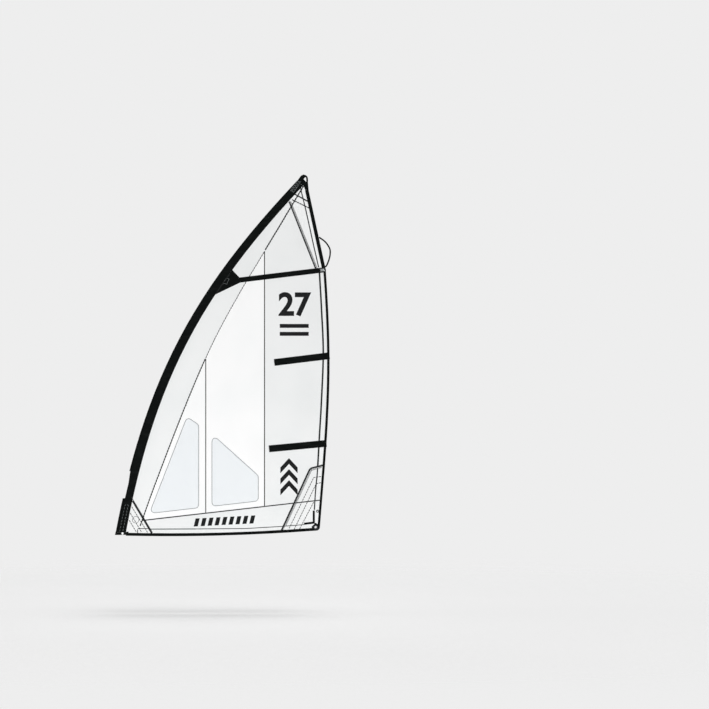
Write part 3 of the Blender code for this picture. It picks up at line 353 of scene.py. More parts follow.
materials = {
    "panel_cloth": laminateCloth("sailcloth, grey laminate", "#F0F1F1", "#E2E5E5", "#EBEDED"),
    # The head's cloth is the grey laminate painted lighter: painted light, making up for the light that falls
    # off towards the head of the sail
    "head_cloth": laminateCloth("sailcloth, grey laminate painted lighter for the head", "#F7F8F8", "#E9EBEB", "#F3F4F4"),
    "white_cloth": laminateCloth("sailcloth, white laminate", "#FDFDFD", "#F0F2F2", "#F8F9F9"),
    "window_film": clearFilm(),
    "black_cloth": coatedCloth("sleeve cloth, coated polyester", "#090C0B", "#131615", "#171B1B"),
    "black_webbing": webbing(),
    "dark_thread": sewingThread("thread, dark polyester", "#1E2021"),
    "grey_thread": sewingThread("thread, grey polyester", "#7E8383"),
    "black_thread": sewingThread("thread, black polyester", "#131515"),
    "steel": stampedSteel("eyelet, pressed stainless steel", "#C9CBCC", 0.28),
    "dark_steel": stampedSteel("clew ring, blackened steel", "#3A3C3D", 0.34),
    "black_plastic": mouldedNylon("fitting, black moulded nylon", "#151717", "#232626"),
    "grey_plastic": mouldedNylon("lever, grey moulded nylon", "#8A8F90", "#A2A7A8"),
    "fibreglass": pultrudedGlass(),
    "print": printedFilm(),
}
keptNodes = {
    "clew_ring": "dark_steel", "leech_eyelet": "dark_steel", "tack_eyelet_port": "steel",
    "tack_eyelet_starboard": "steel", "tensioner_pin": "steel", "tensioner_base": "black_plastic",
    "tensioner_lever": "grey_plastic", "batten_top": "fibreglass", "batten_mid": "fibreglass",
    "batten_low": "fibreglass", "batten_top_end_cap": "black_plastic",
    "batten_mid_end_cap": "black_plastic", "batten_low_end_cap": "black_plastic",
}
for node, finish in keptNodes.items():
    cadNodes[node].data.materials.clear()
    cadNodes[node].data.materials.append(materials[finish])
print("materials made:", len(materials))


# The cloth's fullness: how far it stands off its flat plane, the same for every layer

fullness = {
    "depth": 0.017,
    "swell": 0.25,  # the share of the depth that comes and goes, in two sets of waves
    "waves": ((3.1, 1.7), (-1.1, 2.3)),
    "heldFlatWithin": 0.025,
    "holds": {  # node: how far its hold reaches into the cloth
        "leech_tape_lower": 0.18, "leech_tape_upper": 0.14, "foot_tape": 0.16,
        "batten_top_pocket": 0.15, "batten_mid_pocket": 0.15, "batten_low_pocket": 0.15,
        "clew_ring": 0.30, "leech_loop": 0.08,
    },
    "sleeveHold": 0.16,
}
sideNodes = {face: [f"sleeve_side_{length}_{face}" for length in ("lower", "upper")]
             for face in ("port", "starboard")}


def surfaceOf(things):
    points, faces = [], []
    for thing in things:
        first = len(points)
        points += [vertex.co.copy() for vertex in thing.data.vertices]
        faces += [[first + index for index in face.vertices] for face in thing.data.polygons]
    return BVHTree.FromPolygons(points, faces)


holdTrees = [(surfaceOf([cadNodes[node]]), reach) for node, reach in fullness["holds"].items()]
holdTrees.append((surfaceOf([cadNodes[node] for node in sideNodes["port"]]), fullness["sleeveHold"]))
knownFullness = {}


def fullnessAt(x, z):
    key = (round(x, 4), round(z, 4))
    if key not in knownFullness:
        share = 1.0
        for tree, reach in holdTrees:
            away = max(tree.find_nearest(Vector((x, 0, z)))[3] - fullness["heldFlatWithin"], 0)
            share *= 1 - math.exp(-(away / reach) ** 2)
        (a, b), (c, d) = fullness["waves"]
        swell = fullness["swell"]
        swell = 1 - swell + swell * math.sin(a * x + b * z) * math.cos(c * x + d * z)
        knownFullness[key] = fullness["depth"] * share * swell
    return knownFullness[key]


# Cloth pieces start from their CAD solid, cut into a net of small faces and given the fullness

meshing = {
    "weldWithin": 0.00002, "cutWithin": 0.00001, "sameWithin": 0.0001,  # metres
    "flatWithin": 0.5, "sharpFrom": 35, "sleeveSharpFrom": 50,  # degrees
    "faceOnFrom": 0.5,  # a normal's least share across the sail, for a face that lies in the sail's plane
}
leastFill = 0.45  # how much of its strip a cut piece fills at the least
sailFaces = ((-1, "Port"), (1, "Starboard"))


def copyNode(node):
    mesh = bmesh.new()
    mesh.from_mesh(cadNodes[node].data)
    bmesh.ops.remove_doubles(mesh, verts=mesh.verts[:], dist=meshing["weldWithin"])
    bmesh.ops.dissolve_limit(mesh, angle_limit=math.radians(meshing["flatWithin"]), verts=mesh.verts[:],
                             edges=mesh.edges[:])
    return mesh


def pieceName(node):
    # the CAD node's name as one word, without a leading "batten"
    first, *rest = node.removeprefix("batten_").split("_")
    return first + "".join(word.title() for word in rest)


def cutNet(mesh, step):
    for axis in (0, 2):
        places = [vertex.co[axis] for vertex in mesh.verts]
        for count in range(math.ceil(min(places) / step), math.floor(max(places) / step) + 1):
            across = Vector((0, 0, 0))
            across[axis] = 1
            everything = mesh.verts[:] + mesh.edges[:] + mesh.faces[:]
            bmesh.ops.bisect_plane(mesh, geom=everything, dist=meshing["cutWithin"],
                                   plane_co=across * (count * step), plane_no=across)


def faceOut(mesh):
    bmesh.ops.recalc_face_normals(mesh, faces=mesh.faces[:])


def fill(mesh):
    for vertex in mesh.verts:
        vertex.co.y += fullnessAt(vertex.co.x, vertex.co.z)


def finishPiece(name, mesh, finish, replaced=(), body="sail", sharp=meshing["sharpFrom"]):
    data = bpy.data.meshes.new(name)
    mesh.to_mesh(data)
    mesh.free()
    data.shade_smooth()
    data.set_sharp_from_angle(angle=math.radians(sharp))
    data.materials.append(materials[finish])
    thing = addObject(name, data)
    if replaced:
        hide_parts(*replaced)
    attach(thing, body)
    return thing


def declareSheet(thing):
    # the cloth's flat size: its own length, and the width of the strip that it is cut from
    points = [vertex.co for vertex in thing.data.vertices]
    area = sum(face.area for face in thing.data.polygons) / 2
    centre = sum(points, Vector()) / len(points)
    xx = sum((p.x - centre.x) ** 2 for p in points)
    zz = sum((p.z - centre.z) ** 2 for p in points)
    xz = sum((p.x - centre.x) * (p.z - centre.z) for p in points)
    turn = 0.5 * math.atan2(2 * xz, xx - zz)
    along = [p.x * math.cos(turn) + p.z * math.sin(turn) for p in points]
    across = [p.z * math.cos(turn) - p.x * math.sin(turn) for p in points]
    length, width = max(along) - min(along), max(across) - min(across)
    width = min(max(width, area / length), area / (leastFill * length))


widening = {"foldInside": 0.0004, "thatWay": 0.3, "leastShare": 0.5}
widened = {  # by how much, towards which side (x, z) or all, and whether the strip is folded
    "leech_tape_upper": (0.0115, (-1, 0), True), "foot_tape": (0.0050, (0, 1), True),
    "head_strap": (0.0050, (-0.7, -0.7), False), "clew_reinforcement": (0.0060, (-0.5, 0.85), False),
    "clew_strap_port": (0.0032, None, False), "clew_strap_starboard": (0.0032, None, False),
}


def widen(mesh, amount, towards, folded):
    # moves the cut edges of a flat strip outwards in its own plane, but not the inside of its fold
    moves = {}
    for face in mesh.faces:
        normal, offMiddle = face.normal, abs(face.calc_center_median().y)
        if abs(normal.y) > meshing["faceOnFrom"] or (folded and offMiddle < widening["foldInside"]):
            continue
        if towards and normal.x * towards[0] + normal.z * towards[1] < widening["thatWay"]:
            continue
        for vertex in face.verts:
            moves.setdefault(vertex, []).append(Vector((normal.x, 0, normal.z)).normalized())
    for vertex, normals in moves.items():
        middle = sum(normals, Vector()).normalized()
        vertex.co += middle * amount / max(middle.dot(normals[0]), widening["leastShare"])


panels = {  # node: piece, material and the net's step
    "luff_panel": ("luffPanelCloth", "panel_cloth", 0.045),
    "front_centre_panel": ("frontCentreCloth", "white_cloth", 0.04),
    "aft_centre_panel": ("aftCentreCloth", "white_cloth", 0.04),
    "leech_panel": ("leechPanelCloth", "panel_cloth", 0.045),
    # the head panel's lighter cloth is painted light
    "head_panel": ("headPanelCloth", "head_cloth", 0.03),
    "foot_panel": ("footPanelCloth", "panel_cloth", 0.04),
    "front_window": ("frontWindowFilm", "window_film", 0.04),
    "aft_window": ("aftWindowFilm", "window_film", 0.04),
}
clothPieces = []
for node, (name, finish, step) in panels.items():
    mesh = copyNode(node)
    cutNet(mesh, step)
    fill(mesh)
    piece = finishPiece(name, mesh, finish, replaced=[node])
    declareSheet(piece)
    clothPieces.append(piece)
paleCloths = list(clothPieces)
print("panels and windows made")

patchStep = 0.035
patches = {  # the same on both faces: material, and the panel underneath
    "tack_patch": ("panel_cloth", "footPanelCloth"),
    "clew_patch": ("panel_cloth", "footPanelCloth"),
    "luff_patch": ("black_cloth", "luffPanelCloth"),
    # the head patch's lighter cloth is painted light, as on the head panel
    "head_patch": ("head_cloth", "headPanelCloth"),
    "head_corner": ("black_cloth", "headPanelCloth"),
    "clew_reinforcement": ("black_cloth", "leechPanelCloth"),
    "batten_top_pocket_back": ("black_cloth", "leechPanelCloth"),
    "batten_mid_pocket_back": ("black_cloth", "leechPanelCloth"),
    "batten_low_pocket_back": ("black_cloth", "leechPanelCloth"),
}
for face in sideNodes:
    for patch, (finish, panelUnder) in patches.items():
        node = f"{patch}_{face}"
        mesh = copyNode(node)
        if patch in widened:
            widen(mesh, *widened[patch])
        cutNet(mesh, patchStep)
        fill(mesh)
        piece = finishPiece(pieceName(node), mesh, finish, replaced=[node])
        declareSheet(piece)
        clothPieces.append(piece)
        if finish in ("panel_cloth", "head_cloth"):
            paleCloths.append(piece)
print("patches made")


# The mast sleeve, with soft ripples between the boom opening and the head

sleeve = {
    "ripple": 0.055, "rippleLength": 0.19, "calmBelow": 0.72, "calmAbove": 3.55, "fadeOver": 0.2,
    "lean": 0.5,  # radians from the vertical to the line that the ripples follow
    "wander": 1.3, "wanderRate": 2.9, "slant": 8,
    "overtone": (0.5, 1.7, 2.1),  # its share, rate and wander
    "step": 0.03,
}


def rippleAt(point):
    # how much the sleeve's side swells or draws in, as a share of its distance from the middle plane
    rise = min(max((point.z - sleeve["calmBelow"]) / sleeve["fadeOver"], 0), 1)
    rise *= min(max((sleeve["calmAbove"] - point.z) / sleeve["fadeOver"], 0), 1)
    cos, sin = math.cos(sleeve["lean"]), math.sin(sleeve["lean"])
    along, across = point.z * cos + point.x * sin, point.x * cos - point.z * sin
    turns = 2 * math.pi * along / sleeve["rippleLength"]
    wander = sleeve["wander"] * math.sin(sleeve["wanderRate"] * along) + sleeve["slant"] * across
    share, rate, shift = sleeve["overtone"]
    waves = math.sin(turns + wander) + share * math.sin(rate * turns + shift * wander)
    return sleeve["ripple"] * rise * waves / (1 + share)


def ripple(mesh):
    for vertex in mesh.verts:
        vertex.co.y *= 1 + rippleAt(vertex.co)


sleeveNodes = [f"sleeve_side_{length}_{face}" for length in ("lower", "upper") for face in sideNodes]
for node in [*sleeveNodes, "sleeve_nose_lower", "sleeve_nose_upper"]:
    mesh = copyNode(node)
    cutNet(mesh, sleeve["step"])
    ripple(mesh)
    clothPieces.append(finishPiece(pieceName(node), mesh, "black_cloth", replaced=[node],
                                   sharp=meshing["sleeveSharpFrom"]))
print("sleeve made")

trimStep = 0.03
clewStrapMove = (-0.0065, 0, 0)
trims = [
    "mouth_hem", "tack_webbing_port", "tack_webbing_starboard", "leech_tape_upper", "leech_tape_lower",
    "foot_tape", "clew_strap_port", "clew_strap_starboard", "batten_top_pocket", "batten_mid_pocket",
    "batten_low_pocket", "tension_webbing", "head_strap", "head_cap",
]
for node in trims:
    finish = "black_cloth" if node.endswith(("pocket", "cap")) else "black_webbing"
    mesh = copyNode(node)
    if node in widened:
        widen(mesh, *widened[node])
    if node.startswith("clew_strap"):
        bmesh.ops.translate(mesh, verts=mesh.verts[:], vec=clewStrapMove)
    cutNet(mesh, trimStep)
    fill(mesh)
    clothPieces.append(finishPiece(pieceName(node), mesh, finish, replaced=[node]))
print("tapes, straps and pockets made")

# The cut-back edges of the sleeve at the boom opening: cloth that still curves round towards the nose

opening = {
    "low": 0.392, "high": 0.683, "margin": 0.0005, "searched": 0.15,
    "recessLow": 0.0245, "recessHigh": 0.012, "recessCurve": 1.3, "bulge": 0.006,
    "overlap": 0.02,  # radians that it reaches behind the side cloth
    "cloth": 0.0007, "rows": 12, "columns": 6,
}


def frontEdge(height):
    # the front of the side cloth at that height, and the nose radius there, from the CAD solid
    rows = {}
    bottom, top = opening["low"] - opening["searched"], opening["high"] + opening["searched"]
    for vertex in [v for node in sideNodes["port"] for v in cadNodes[node].data.vertices]:
        key = round(vertex.co.z, 3)
        if bottom < key < top and (key not in rows or vertex.co.x < rows[key].x):
            rows[key] = vertex.co.copy()
    heights = sorted(rows)
    for low, high in zip(heights, heights[1:]):
        if low <= height <= high:
            return rows[low].lerp(rows[high], (height - low) / (high - low))
    return rows[heights[-1]]


def openingEdge(side):
    mesh = bmesh.new()
    margin = opening["margin"]
    bmesh.ops.create_grid(mesh, x_segments=opening["rows"], y_segments=opening["columns"], size=0.5)
    for vertex in mesh.verts:
        up, share = vertex.co.x + 0.5, vertex.co.y + 0.5
        height = opening["low"] + margin + (opening["high"] - opening["low"] - 2 * margin) * up
        edge = frontEdge(height)
        radius = abs(edge.y)
        bend = up ** opening["recessCurve"]
        recess = opening["recessLow"] + (opening["recessHigh"] - opening["recessLow"]) * bend
        recess = min(recess + opening["bulge"] * math.sin(math.pi * up) ** 2, radius)
        reach = math.acos((radius - recess) / radius)  # angle from the front where the cloth ends
        turn = math.pi / 2 - share * (math.pi / 2 - reach) + opening["overlap"]
        vertex.co = (edge.x - radius * math.cos(turn), side * radius * math.sin(turn), height)
    faceOut(mesh)
    bmesh.ops.solidify(mesh, geom=mesh.faces[:], thickness=opening["cloth"])
    faceOut(mesh)
    return mesh


for side, face in sailFaces:
    clothPieces.append(finishPiece(f"openingEdge{face}", openingEdge(side), "black_cloth"))
print("boom opening edged")


def smoothThrough(points, count):
    # a smooth line through given points
    knots = [Vector((x, 0, z)) for x, z in points]
    knots = [knots[0] * 2 - knots[1], *knots, knots[-1] * 2 - knots[-2]]
    made = []
    pieces = len(points) - 1
    for step in range(count + 1):
        at = min(step / count * pieces, pieces - 1e-6)
        i, t = int(at) + 1, at - int(at)
        a, b, c, d = knots[i - 1], knots[i], knots[i + 1], knots[i + 2]
        place = 0.5 * (2 * b + (c - a) * t + (2 * a - 5 * b + 4 * c - d) * t * t
                       + (3 * b - a - 3 * c + d) * t ** 3)
        made.append((place.x, place.z))
    return made


def flatCloth(outline, middle, thick):
    # a flat piece with that outline of (x, z) points, thickened evenly about its middle plane
    mesh = bmesh.new()
    mesh.faces.new([mesh.verts.new((x, middle - thick / 2, z)) for x, z in outline])
    grown = bmesh.ops.extrude_face_region(mesh, geom=mesh.faces[:])["geom"]
    moved = [part for part in grown if isinstance(part, bmesh.types.BMVert)]
    bmesh.ops.translate(mesh, verts=moved, vec=(0, thick, 0))
    faceOut(mesh)
    return mesh


# A black gusset in the sail's plane, between the head cap, its strap and the head corner

gusset = {
    "outline": [
        (1.9503, 3.7599), (1.9683, 3.8469), (1.9965, 3.8546), (2.0108, 3.8285), (1.9888, 3.8085),
        (1.9991, 3.7967), (2.0221, 3.7727), (2.0170, 3.7497), (1.9863, 3.7394),
    ],
    "thick": 0.0034,
}
mesh = flatCloth(gusset["outline"], 0.0, gusset["thick"])
clothPieces.append(finishPiece("headGusset", mesh, "black_cloth"))
print("head gusset made")


# The bowed strap on the leech

leechLoop = {
    "route": [
        (2.156, 3.184), (2.170, 3.175), (2.226, 3.131), (2.268, 3.067), (2.275, 3.016), (2.266, 2.959),
        (2.246, 2.902), (2.230, 2.874), (2.212, 2.867),
    ],
    "width": 0.0160,
    "steps": 48,
}


def ribbonOutline(line, width):
    # the outline of a flat ribbon along a line of (x, z) points
    sides = ([], [])
    for number, here in enumerate(line):
        before, after = line[max(number - 1, 0)], line[min(number + 1, len(line) - 1)]
        along = (Vector(after) - Vector(before)).normalized()
        across = Vector((-along.y, along.x)) * width / 2
        sides[0].append(tuple(Vector(here) + across))
        sides[1].append(tuple(Vector(here) - across))
    return sides[0] + sides[1][::-1]


depths = [vertex.co.y for vertex in cadNodes["leech_loop"].data.vertices]
outline = ribbonOutline(smoothThrough(leechLoop["route"], leechLoop["steps"]), leechLoop["width"])
mesh = flatCloth(outline, (min(depths) + max(depths)) / 2, max(depths) - min(depths))
clothPieces.append(finishPiece("leechLoop", mesh, "black_webbing", replaced=["leech_loop"]))
print("leech loop made")


# Seams, sewing and print lie on the finished cloth, on both faces

skinTree = surfaceOf(clothPieces)
paleTree = surfaceOf(paleCloths)
probe = {"startsAt": 0.3, "strays": 0.0015}
stitchRise = 0.4  # how far a stitch's middle stands off the cloth, as a share of its thickness
tape = {"step": 0.02, "thick": 0.00035, "lift": 0.0001}


def skin(x, z, side, tree=skinTree):
    # the outermost cloth at that place on that face, as a point and its outward direction
    stray = probe["strays"]
    for shiftX, shiftZ in ((0, 0), (stray, 0), (0, stray), (-stray, 0), (0, -stray)):
        start = Vector((x + shiftX, side * probe["startsAt"], z + shiftZ))
        point, normal, _, _ = tree.ray_cast(start, Vector((0, -side, 0)))
        if point is not None:
            return point, normal if normal.y * side > 0 else -normal
    return None, None


def resample(line, spacing):
    # points every so far along a line of (x, z) points, each with the line's direction there
    points = [Vector((x, 0, z)) for x, z in line]
    made, carry = [], spacing / 2
    for here, ahead in zip(points, points[1:]):
        length = (ahead - here).length
        while carry <= length:
            made.append((here.lerp(ahead, carry / length), (ahead - here).normalized()))
            carry += spacing
        carry -= length
    return made


def addStitches(mesh, line, side, pitch, length, width, slant=0.0, aside=0.0, thick=0.0006, on=skinTree):
    for place, along in resample(line, pitch):
        left = Vector((-along.z, 0, along.x))
        place = place + left * aside
        point, out = skin(place.x, place.z, side, on)
        if point is None:
            continue
        along = (along - out * along.dot(out)).normalized()
        along = Matrix.Rotation(slant, 3, out) @ along
        stands = Matrix.Translation(point + out * thick * stitchRise)
        turn = Matrix((along, out.cross(along), out)).transposed().to_4x4()
        size = Matrix.Diagonal((length, width, thick, 1))
        bmesh.ops.create_cube(mesh, size=1, matrix=stands @ turn @ size)


def addBand(mesh, line, side, width, aside=0.0, on=paleTree):
    # a flat tape drawn out along the line, one step after another
    edge, faces = None, []
    stations = resample(line, tape["step"])
    first, last = Vector((line[0][0], 0, line[0][1])), Vector((line[-1][0], 0, line[-1][1]))
    stations = [(first, stations[0][1]), *stations, (last, stations[-1][1])]
    for place, along in stations:
        left = Vector((-along.z, 0, along.x))
        corners = [place + left * (aside + half) for half in (-width / 2, width / 2)]
        points = [skin(spot.x, spot.z, side, on)[0] for spot in corners]
        hits = [side * point.y for point in points if point is not None]
        if not hits:
            continue
        lift = side * (max(hits) + tape["lift"])
        corners = [Vector((spot.x, lift, spot.z)) for spot in corners]
        if edge is None:
            edge = mesh.edges.new([mesh.verts.new(corner) for corner in corners])
            lead = list(edge.verts)
            continue
        grown = bmesh.ops.extrude_edge_only(mesh, edges=[edge])["geom"]
        edge = next(part for part in grown if isinstance(part, bmesh.types.BMEdge) and part.is_boundary
                    and not any(v in lead for v in part.verts))
        faces += [part for part in grown if isinstance(part, bmesh.types.BMFace)]
        ends = list(edge.verts)
        # the end that grew from the left corner stays on the left
        if any(e.other_vert(ends[0]) == lead[1] for e in ends[0].link_edges):
            ends.reverse()
        for vertex, corner in zip(ends, corners):
            vertex.co = corner
        lead = ends
    bmesh.ops.recalc_face_normals(mesh, faces=faces)
    if faces and faces[0].normal.y * side < 0:
        bmesh.ops.reverse_faces(mesh, faces=faces)
    grown = bmesh.ops.solidify(mesh, geom=faces, thickness=-tape["thick"])["geom"]
    whole = [face for face in faces if face.is_valid]
    whole += [part for part in grown if isinstance(part, bmesh.types.BMFace) and part not in whole]
    bmesh.ops.recalc_face_normals(mesh, faces=whole)


def rimOf(node):
    # the outline of a flat CAD node, as a closed line
    mesh = copyNode(node)
    low = min(v.co.y for v in mesh.verts)
    flat = [e for e in mesh.edges if all(abs(v.co.y - low) < meshing["sameWithin"] for v in e.verts)]
    rim = [e for e in flat if any(abs(f.normal.y) < meshing["faceOnFrom"] for f in e.link_faces)]
    lead = rim[0].verts[0]
    line, left = [lead], set(rim)
    while left:
        ahead = next((e for e in lead.link_edges if e in left), None)
        if ahead is None:
            break
        left.discard(ahead)
        lead = ahead.other_vert(lead)
        line.append(lead)
    made = [(v.co.x, v.co.z) for v in line]
    mesh.free()
    return made


sewing = {
    "luffSeam": [
        (0.2414, 0.0951), (0.4142, 0.577), (0.7459, 1.433), (1.0027, 2.021), (1.2573, 2.503), (1.5409, 2.984),
        (1.9867, 3.728),
    ],
    "luffWidths": [  # between two heights: width of the band and of the stitches over it
        (0.0, 1.884, 0.0088, 0.0135), (1.884, 3.036, 0.0040, 0.0085), (3.036, 4.0, 0.0095, 0.0150),
    ],
    "frontSeam": [(0.943, 0.2315), (0.943, 1.884)],
    "aftSeam": [(1.572, 0.3035), (1.572, 3.036)],
    "footSeam": [(0.2635, 0.1538), (2.172, 0.3722)],
    "headSeam": [(1.8405, 3.567), (2.1339, 2.826)],
    "clewEdge": [(2.196, 0.740), (2.064, 0.705), (1.757, 0.041)],
    "clewRows": [
        [(2.180, 0.625), (2.098, 0.613), (1.832, 0.062)],
        [(2.178, 0.560), (2.125, 0.546), (1.893, 0.066)],
        [(2.100, 0.354), (1.953, 0.074)],
    ],
    "tackEdge": [(0.152, 0.383), (0.367, 0.020)],
    "tackTab": [(0.2143, 0.022), (0.2143, 0.0672), (0.3287, 0.0672)],
    "tackRows": [
        [(0.134, 0.330), (0.322, 0.024)],
        [(0.118, 0.262), (0.262, 0.020)],
        [(0.108, 0.185), (0.206, 0.022)],
    ],
    "leechHem": [
        (1.958, 3.712), (1.9719, 3.648), (1.9888, 3.584), (2.0321, 3.394), (2.0608, 3.265), (2.1038, 3.069),
        (2.1277, 2.969), (2.1420, 2.902), (2.1520, 2.864),
    ],
    "leechHemLow": [
        (2.160, 2.830), (2.162, 2.770), (2.1817, 2.422), (2.2007, 1.952), (2.1817, 1.438),
        (2.1607, 1.074), (2.1387, 0.689), (2.1187, 0.475), (2.1057, 0.268),
    ],
    "leechHemWidths": [(0.0, 0.72, 0.0130), (0.72, 3.0, 0.0180)],
    "footHem": [(0.340, 0.061), (0.830, 0.0635)],
    "footHemAft": [(0.830, 0.0635), (1.370, 0.068), (1.7327, 0.089), (1.995, 0.110)],
    "mouthHem": [(-0.016, 0.029), (0.104, 0.027)],
    "eyeletRing": (2.1402, 0.2533, 0.0140),
    "patchMark": [(1.126, 2.691), (1.162, 2.744), (1.196, 2.738), (1.168, 2.684)],
    "patchJoin": [(1.0595, 2.5891), (1.136, 2.7047), (1.2029, 2.7946)],
    "headBox": [(1.8517, 3.6830), (1.8850, 3.6650), (1.9600, 3.7780), (1.9220, 3.7860)],
    "headPatchEdge": [(1.872, 3.659), (2.036, 3.568)],
    "headPatchRow": [(1.8377, 3.6008), (2.0562, 3.4944)],
}
lineSteps = {"luffSeam": 240, "leechHem": 60, "leechHemLow": 200, "patchJoin": 20, "eyeletRing": 24}
stitches = {
    "luffSeam": dict(pitch=0.031, length=0.021, slant=0.10, on=paleTree),
    "headSeam": dict(pitch=0.0110, length=0.024, width=0.0052, slant=0.9, aside=0.0080, on=paleTree),
    "clewEdge": dict(pitch=0.0120, length=0.026, width=0.0048, slant=0.9, aside=0.0105, on=paleTree),
    "eyeletRing": dict(pitch=0.0060, length=0.0068, width=0.0045),
    "cornerRow": dict(pitch=0.030, length=0.023, width=0.0075, on=paleTree),
    "headPatchRow": dict(pitch=0.030, length=0.026, width=0.0110, on=paleTree),
    "sleeveRow": dict(pitch=0.007, length=0.0045, width=0.0009, thick=0.0004),
    "tapeRow": dict(pitch=0.008, length=0.0085, width=0.0010, slant=0.6, thick=0.0004),
    "pocketRow": dict(pitch=0.008, length=0.0055, width=0.0010, thick=0.0004),
    "webbing": dict(pitch=0.034, length=0.021, width=0.0036),
    "mouthHem": dict(pitch=0.009, length=0.006, width=0.0018, thick=0.0005),
    "mark": dict(pitch=0.0110, length=0.0085, width=0.0030, thick=0.0005),
}
bands = {  # widths
    "headSeam": 0.0130, "clewEdge": 0.0170, "tackTab": 0.0080, "tackEdge": 0.0225, "headPatchEdge": 0.0140,
    "footSeam": 0.0115, "frontSeam": 0.0098, "aftSeam": 0.0098, "leechHem": 0.0115, "footHemAft": 0.0080,
    "windowEdge": 0.0062, "footHem": 0.0125, "patchJoin": 0.0120,
}
besideStitches = -0.0060  # where a band lies that shares its line with stitches
fineRows = {
    "sleeveAsides": (-0.003, 0.003),
    "tabDepth": 0.00105, "tabDepthWithin": 0.00004, "tabLean": 0.35,
    "tapeAxes": {"leech_tape_upper": 1, "leech_tape_lower": 1, "foot_tape": 0},
    "tapeShare": 0.80,  # of the tape's width, from its outer edge
    "clewCorner": (2.04, 0.16),
    "pocketInside": 0.005, "webbingInside": -0.001,
    "zigzags": 9,
}


def smoothLine(key):
    return smoothThrough(sewing[key], lineSteps[key])


def tabCorners(node):
    # the corners of a node at the depth of its tabs, as (x, z) spots
    return {(round(v.co.x, 4), round(v.co.z, 4)) for v in cadNodes[node].data.vertices
            if abs(abs(v.co.y) - fineRows["tabDepth"]) < fineRows["tabDepthWithin"]}


def sleeveAftRow(face):
    # midway along the sewn tab at the sleeve's aft edge, from foot to head
    row = []
    for node in sideNodes[face]:
        ordered = sorted(tabCorners(node), key=lambda spot: fineRows["tabLean"] * spot[0] + spot[1])
        row += [((a[0] + b[0]) / 2, (a[1] + b[1]) / 2) for a, b in zip(ordered[::2], ordered[1::2])]
    return row


def tapeRow(node, axis):
    # a line along an edge tape, away from the clew's corner
    share = fineRows["tapeShare"]
    clewX, clewZ = fineRows["clewCorner"]
    spots = [spot for spot in tabCorners(node) if spot[0] < clewX or spot[1] > clewZ]
    spots.sort(key=lambda spot: spot[axis])
    line = []
    for pair in zip(spots[::2], spots[1::2]):
        if axis == 0:
            outer, inner = sorted(pair, key=lambda spot: spot[1])
        else:
            inner, outer = sorted(pair, key=lambda spot: spot[0])
        line.append((outer[0] + (inner[0] - outer[0]) * share, outer[1] + (inner[1] - outer[1]) * share))
    return line


def ringLine(x, z, radius):
    steps = lineSteps["eyeletRing"]
    turns = [2 * math.pi * step / steps for step in range(steps + 1)]
    return [(x + radius * math.cos(turn), z + radius * math.sin(turn)) for turn in turns]


def boxLine(corners):
    return [*corners, corners[0]]


def zigzagLine(corners):
    # to and fro between two opposite sides of a box of four corners
    a, b, c, d = [Vector(corner) for corner in corners]
    line = []
    for number in range(fineRows["zigzags"] + 1):
        share = number / fineRows["zigzags"]
        line.append(tuple(a.lerp(d, share) if number % 2 else b.lerp(c, share)))
    return line


def stripSides(node):
    # the two long sides of a straight strip, each moved inwards
    inside = fineRows["pocketInside"]
    spots = sorted({(round(v.co.x, 4), round(v.co.z, 4)) for v in cadNodes[node].data.vertices})
    starts, ends = sorted(spots[:2], key=lambda spot: spot[1]), sorted(spots[-2:], key=lambda spot: spot[1])
    along = (Vector(ends[0]) - Vector(starts[0])).normalized()
    up = Vector((-along.y, along.x))
    sides = []
    for i, way in ((0, 1), (1, -1)):
        sides.append([tuple(Vector(starts[i]) + up * way * inside + along * inside),
                      tuple(Vector(ends[i]) + up * way * inside - along * inside)])
    return sides


def webbingLine(node):
    # the inverted U along a strip of webbing: up its front edge, over its top and down its back edge
    inside = fineRows["webbingInside"]
    rows = {}
    for vertex in cadNodes[node].data.vertices:
        rows.setdefault(round(vertex.co.z, 3), []).append(vertex.co.x)
    heights = [height for height in sorted(rows) if max(rows[height]) - min(rows[height]) > 2 * inside]
    front = [(min(rows[height]) + inside, height) for height in heights]
    back = [(max(rows[height]) - inside, height) for height in heights]
    return front + back[::-1]


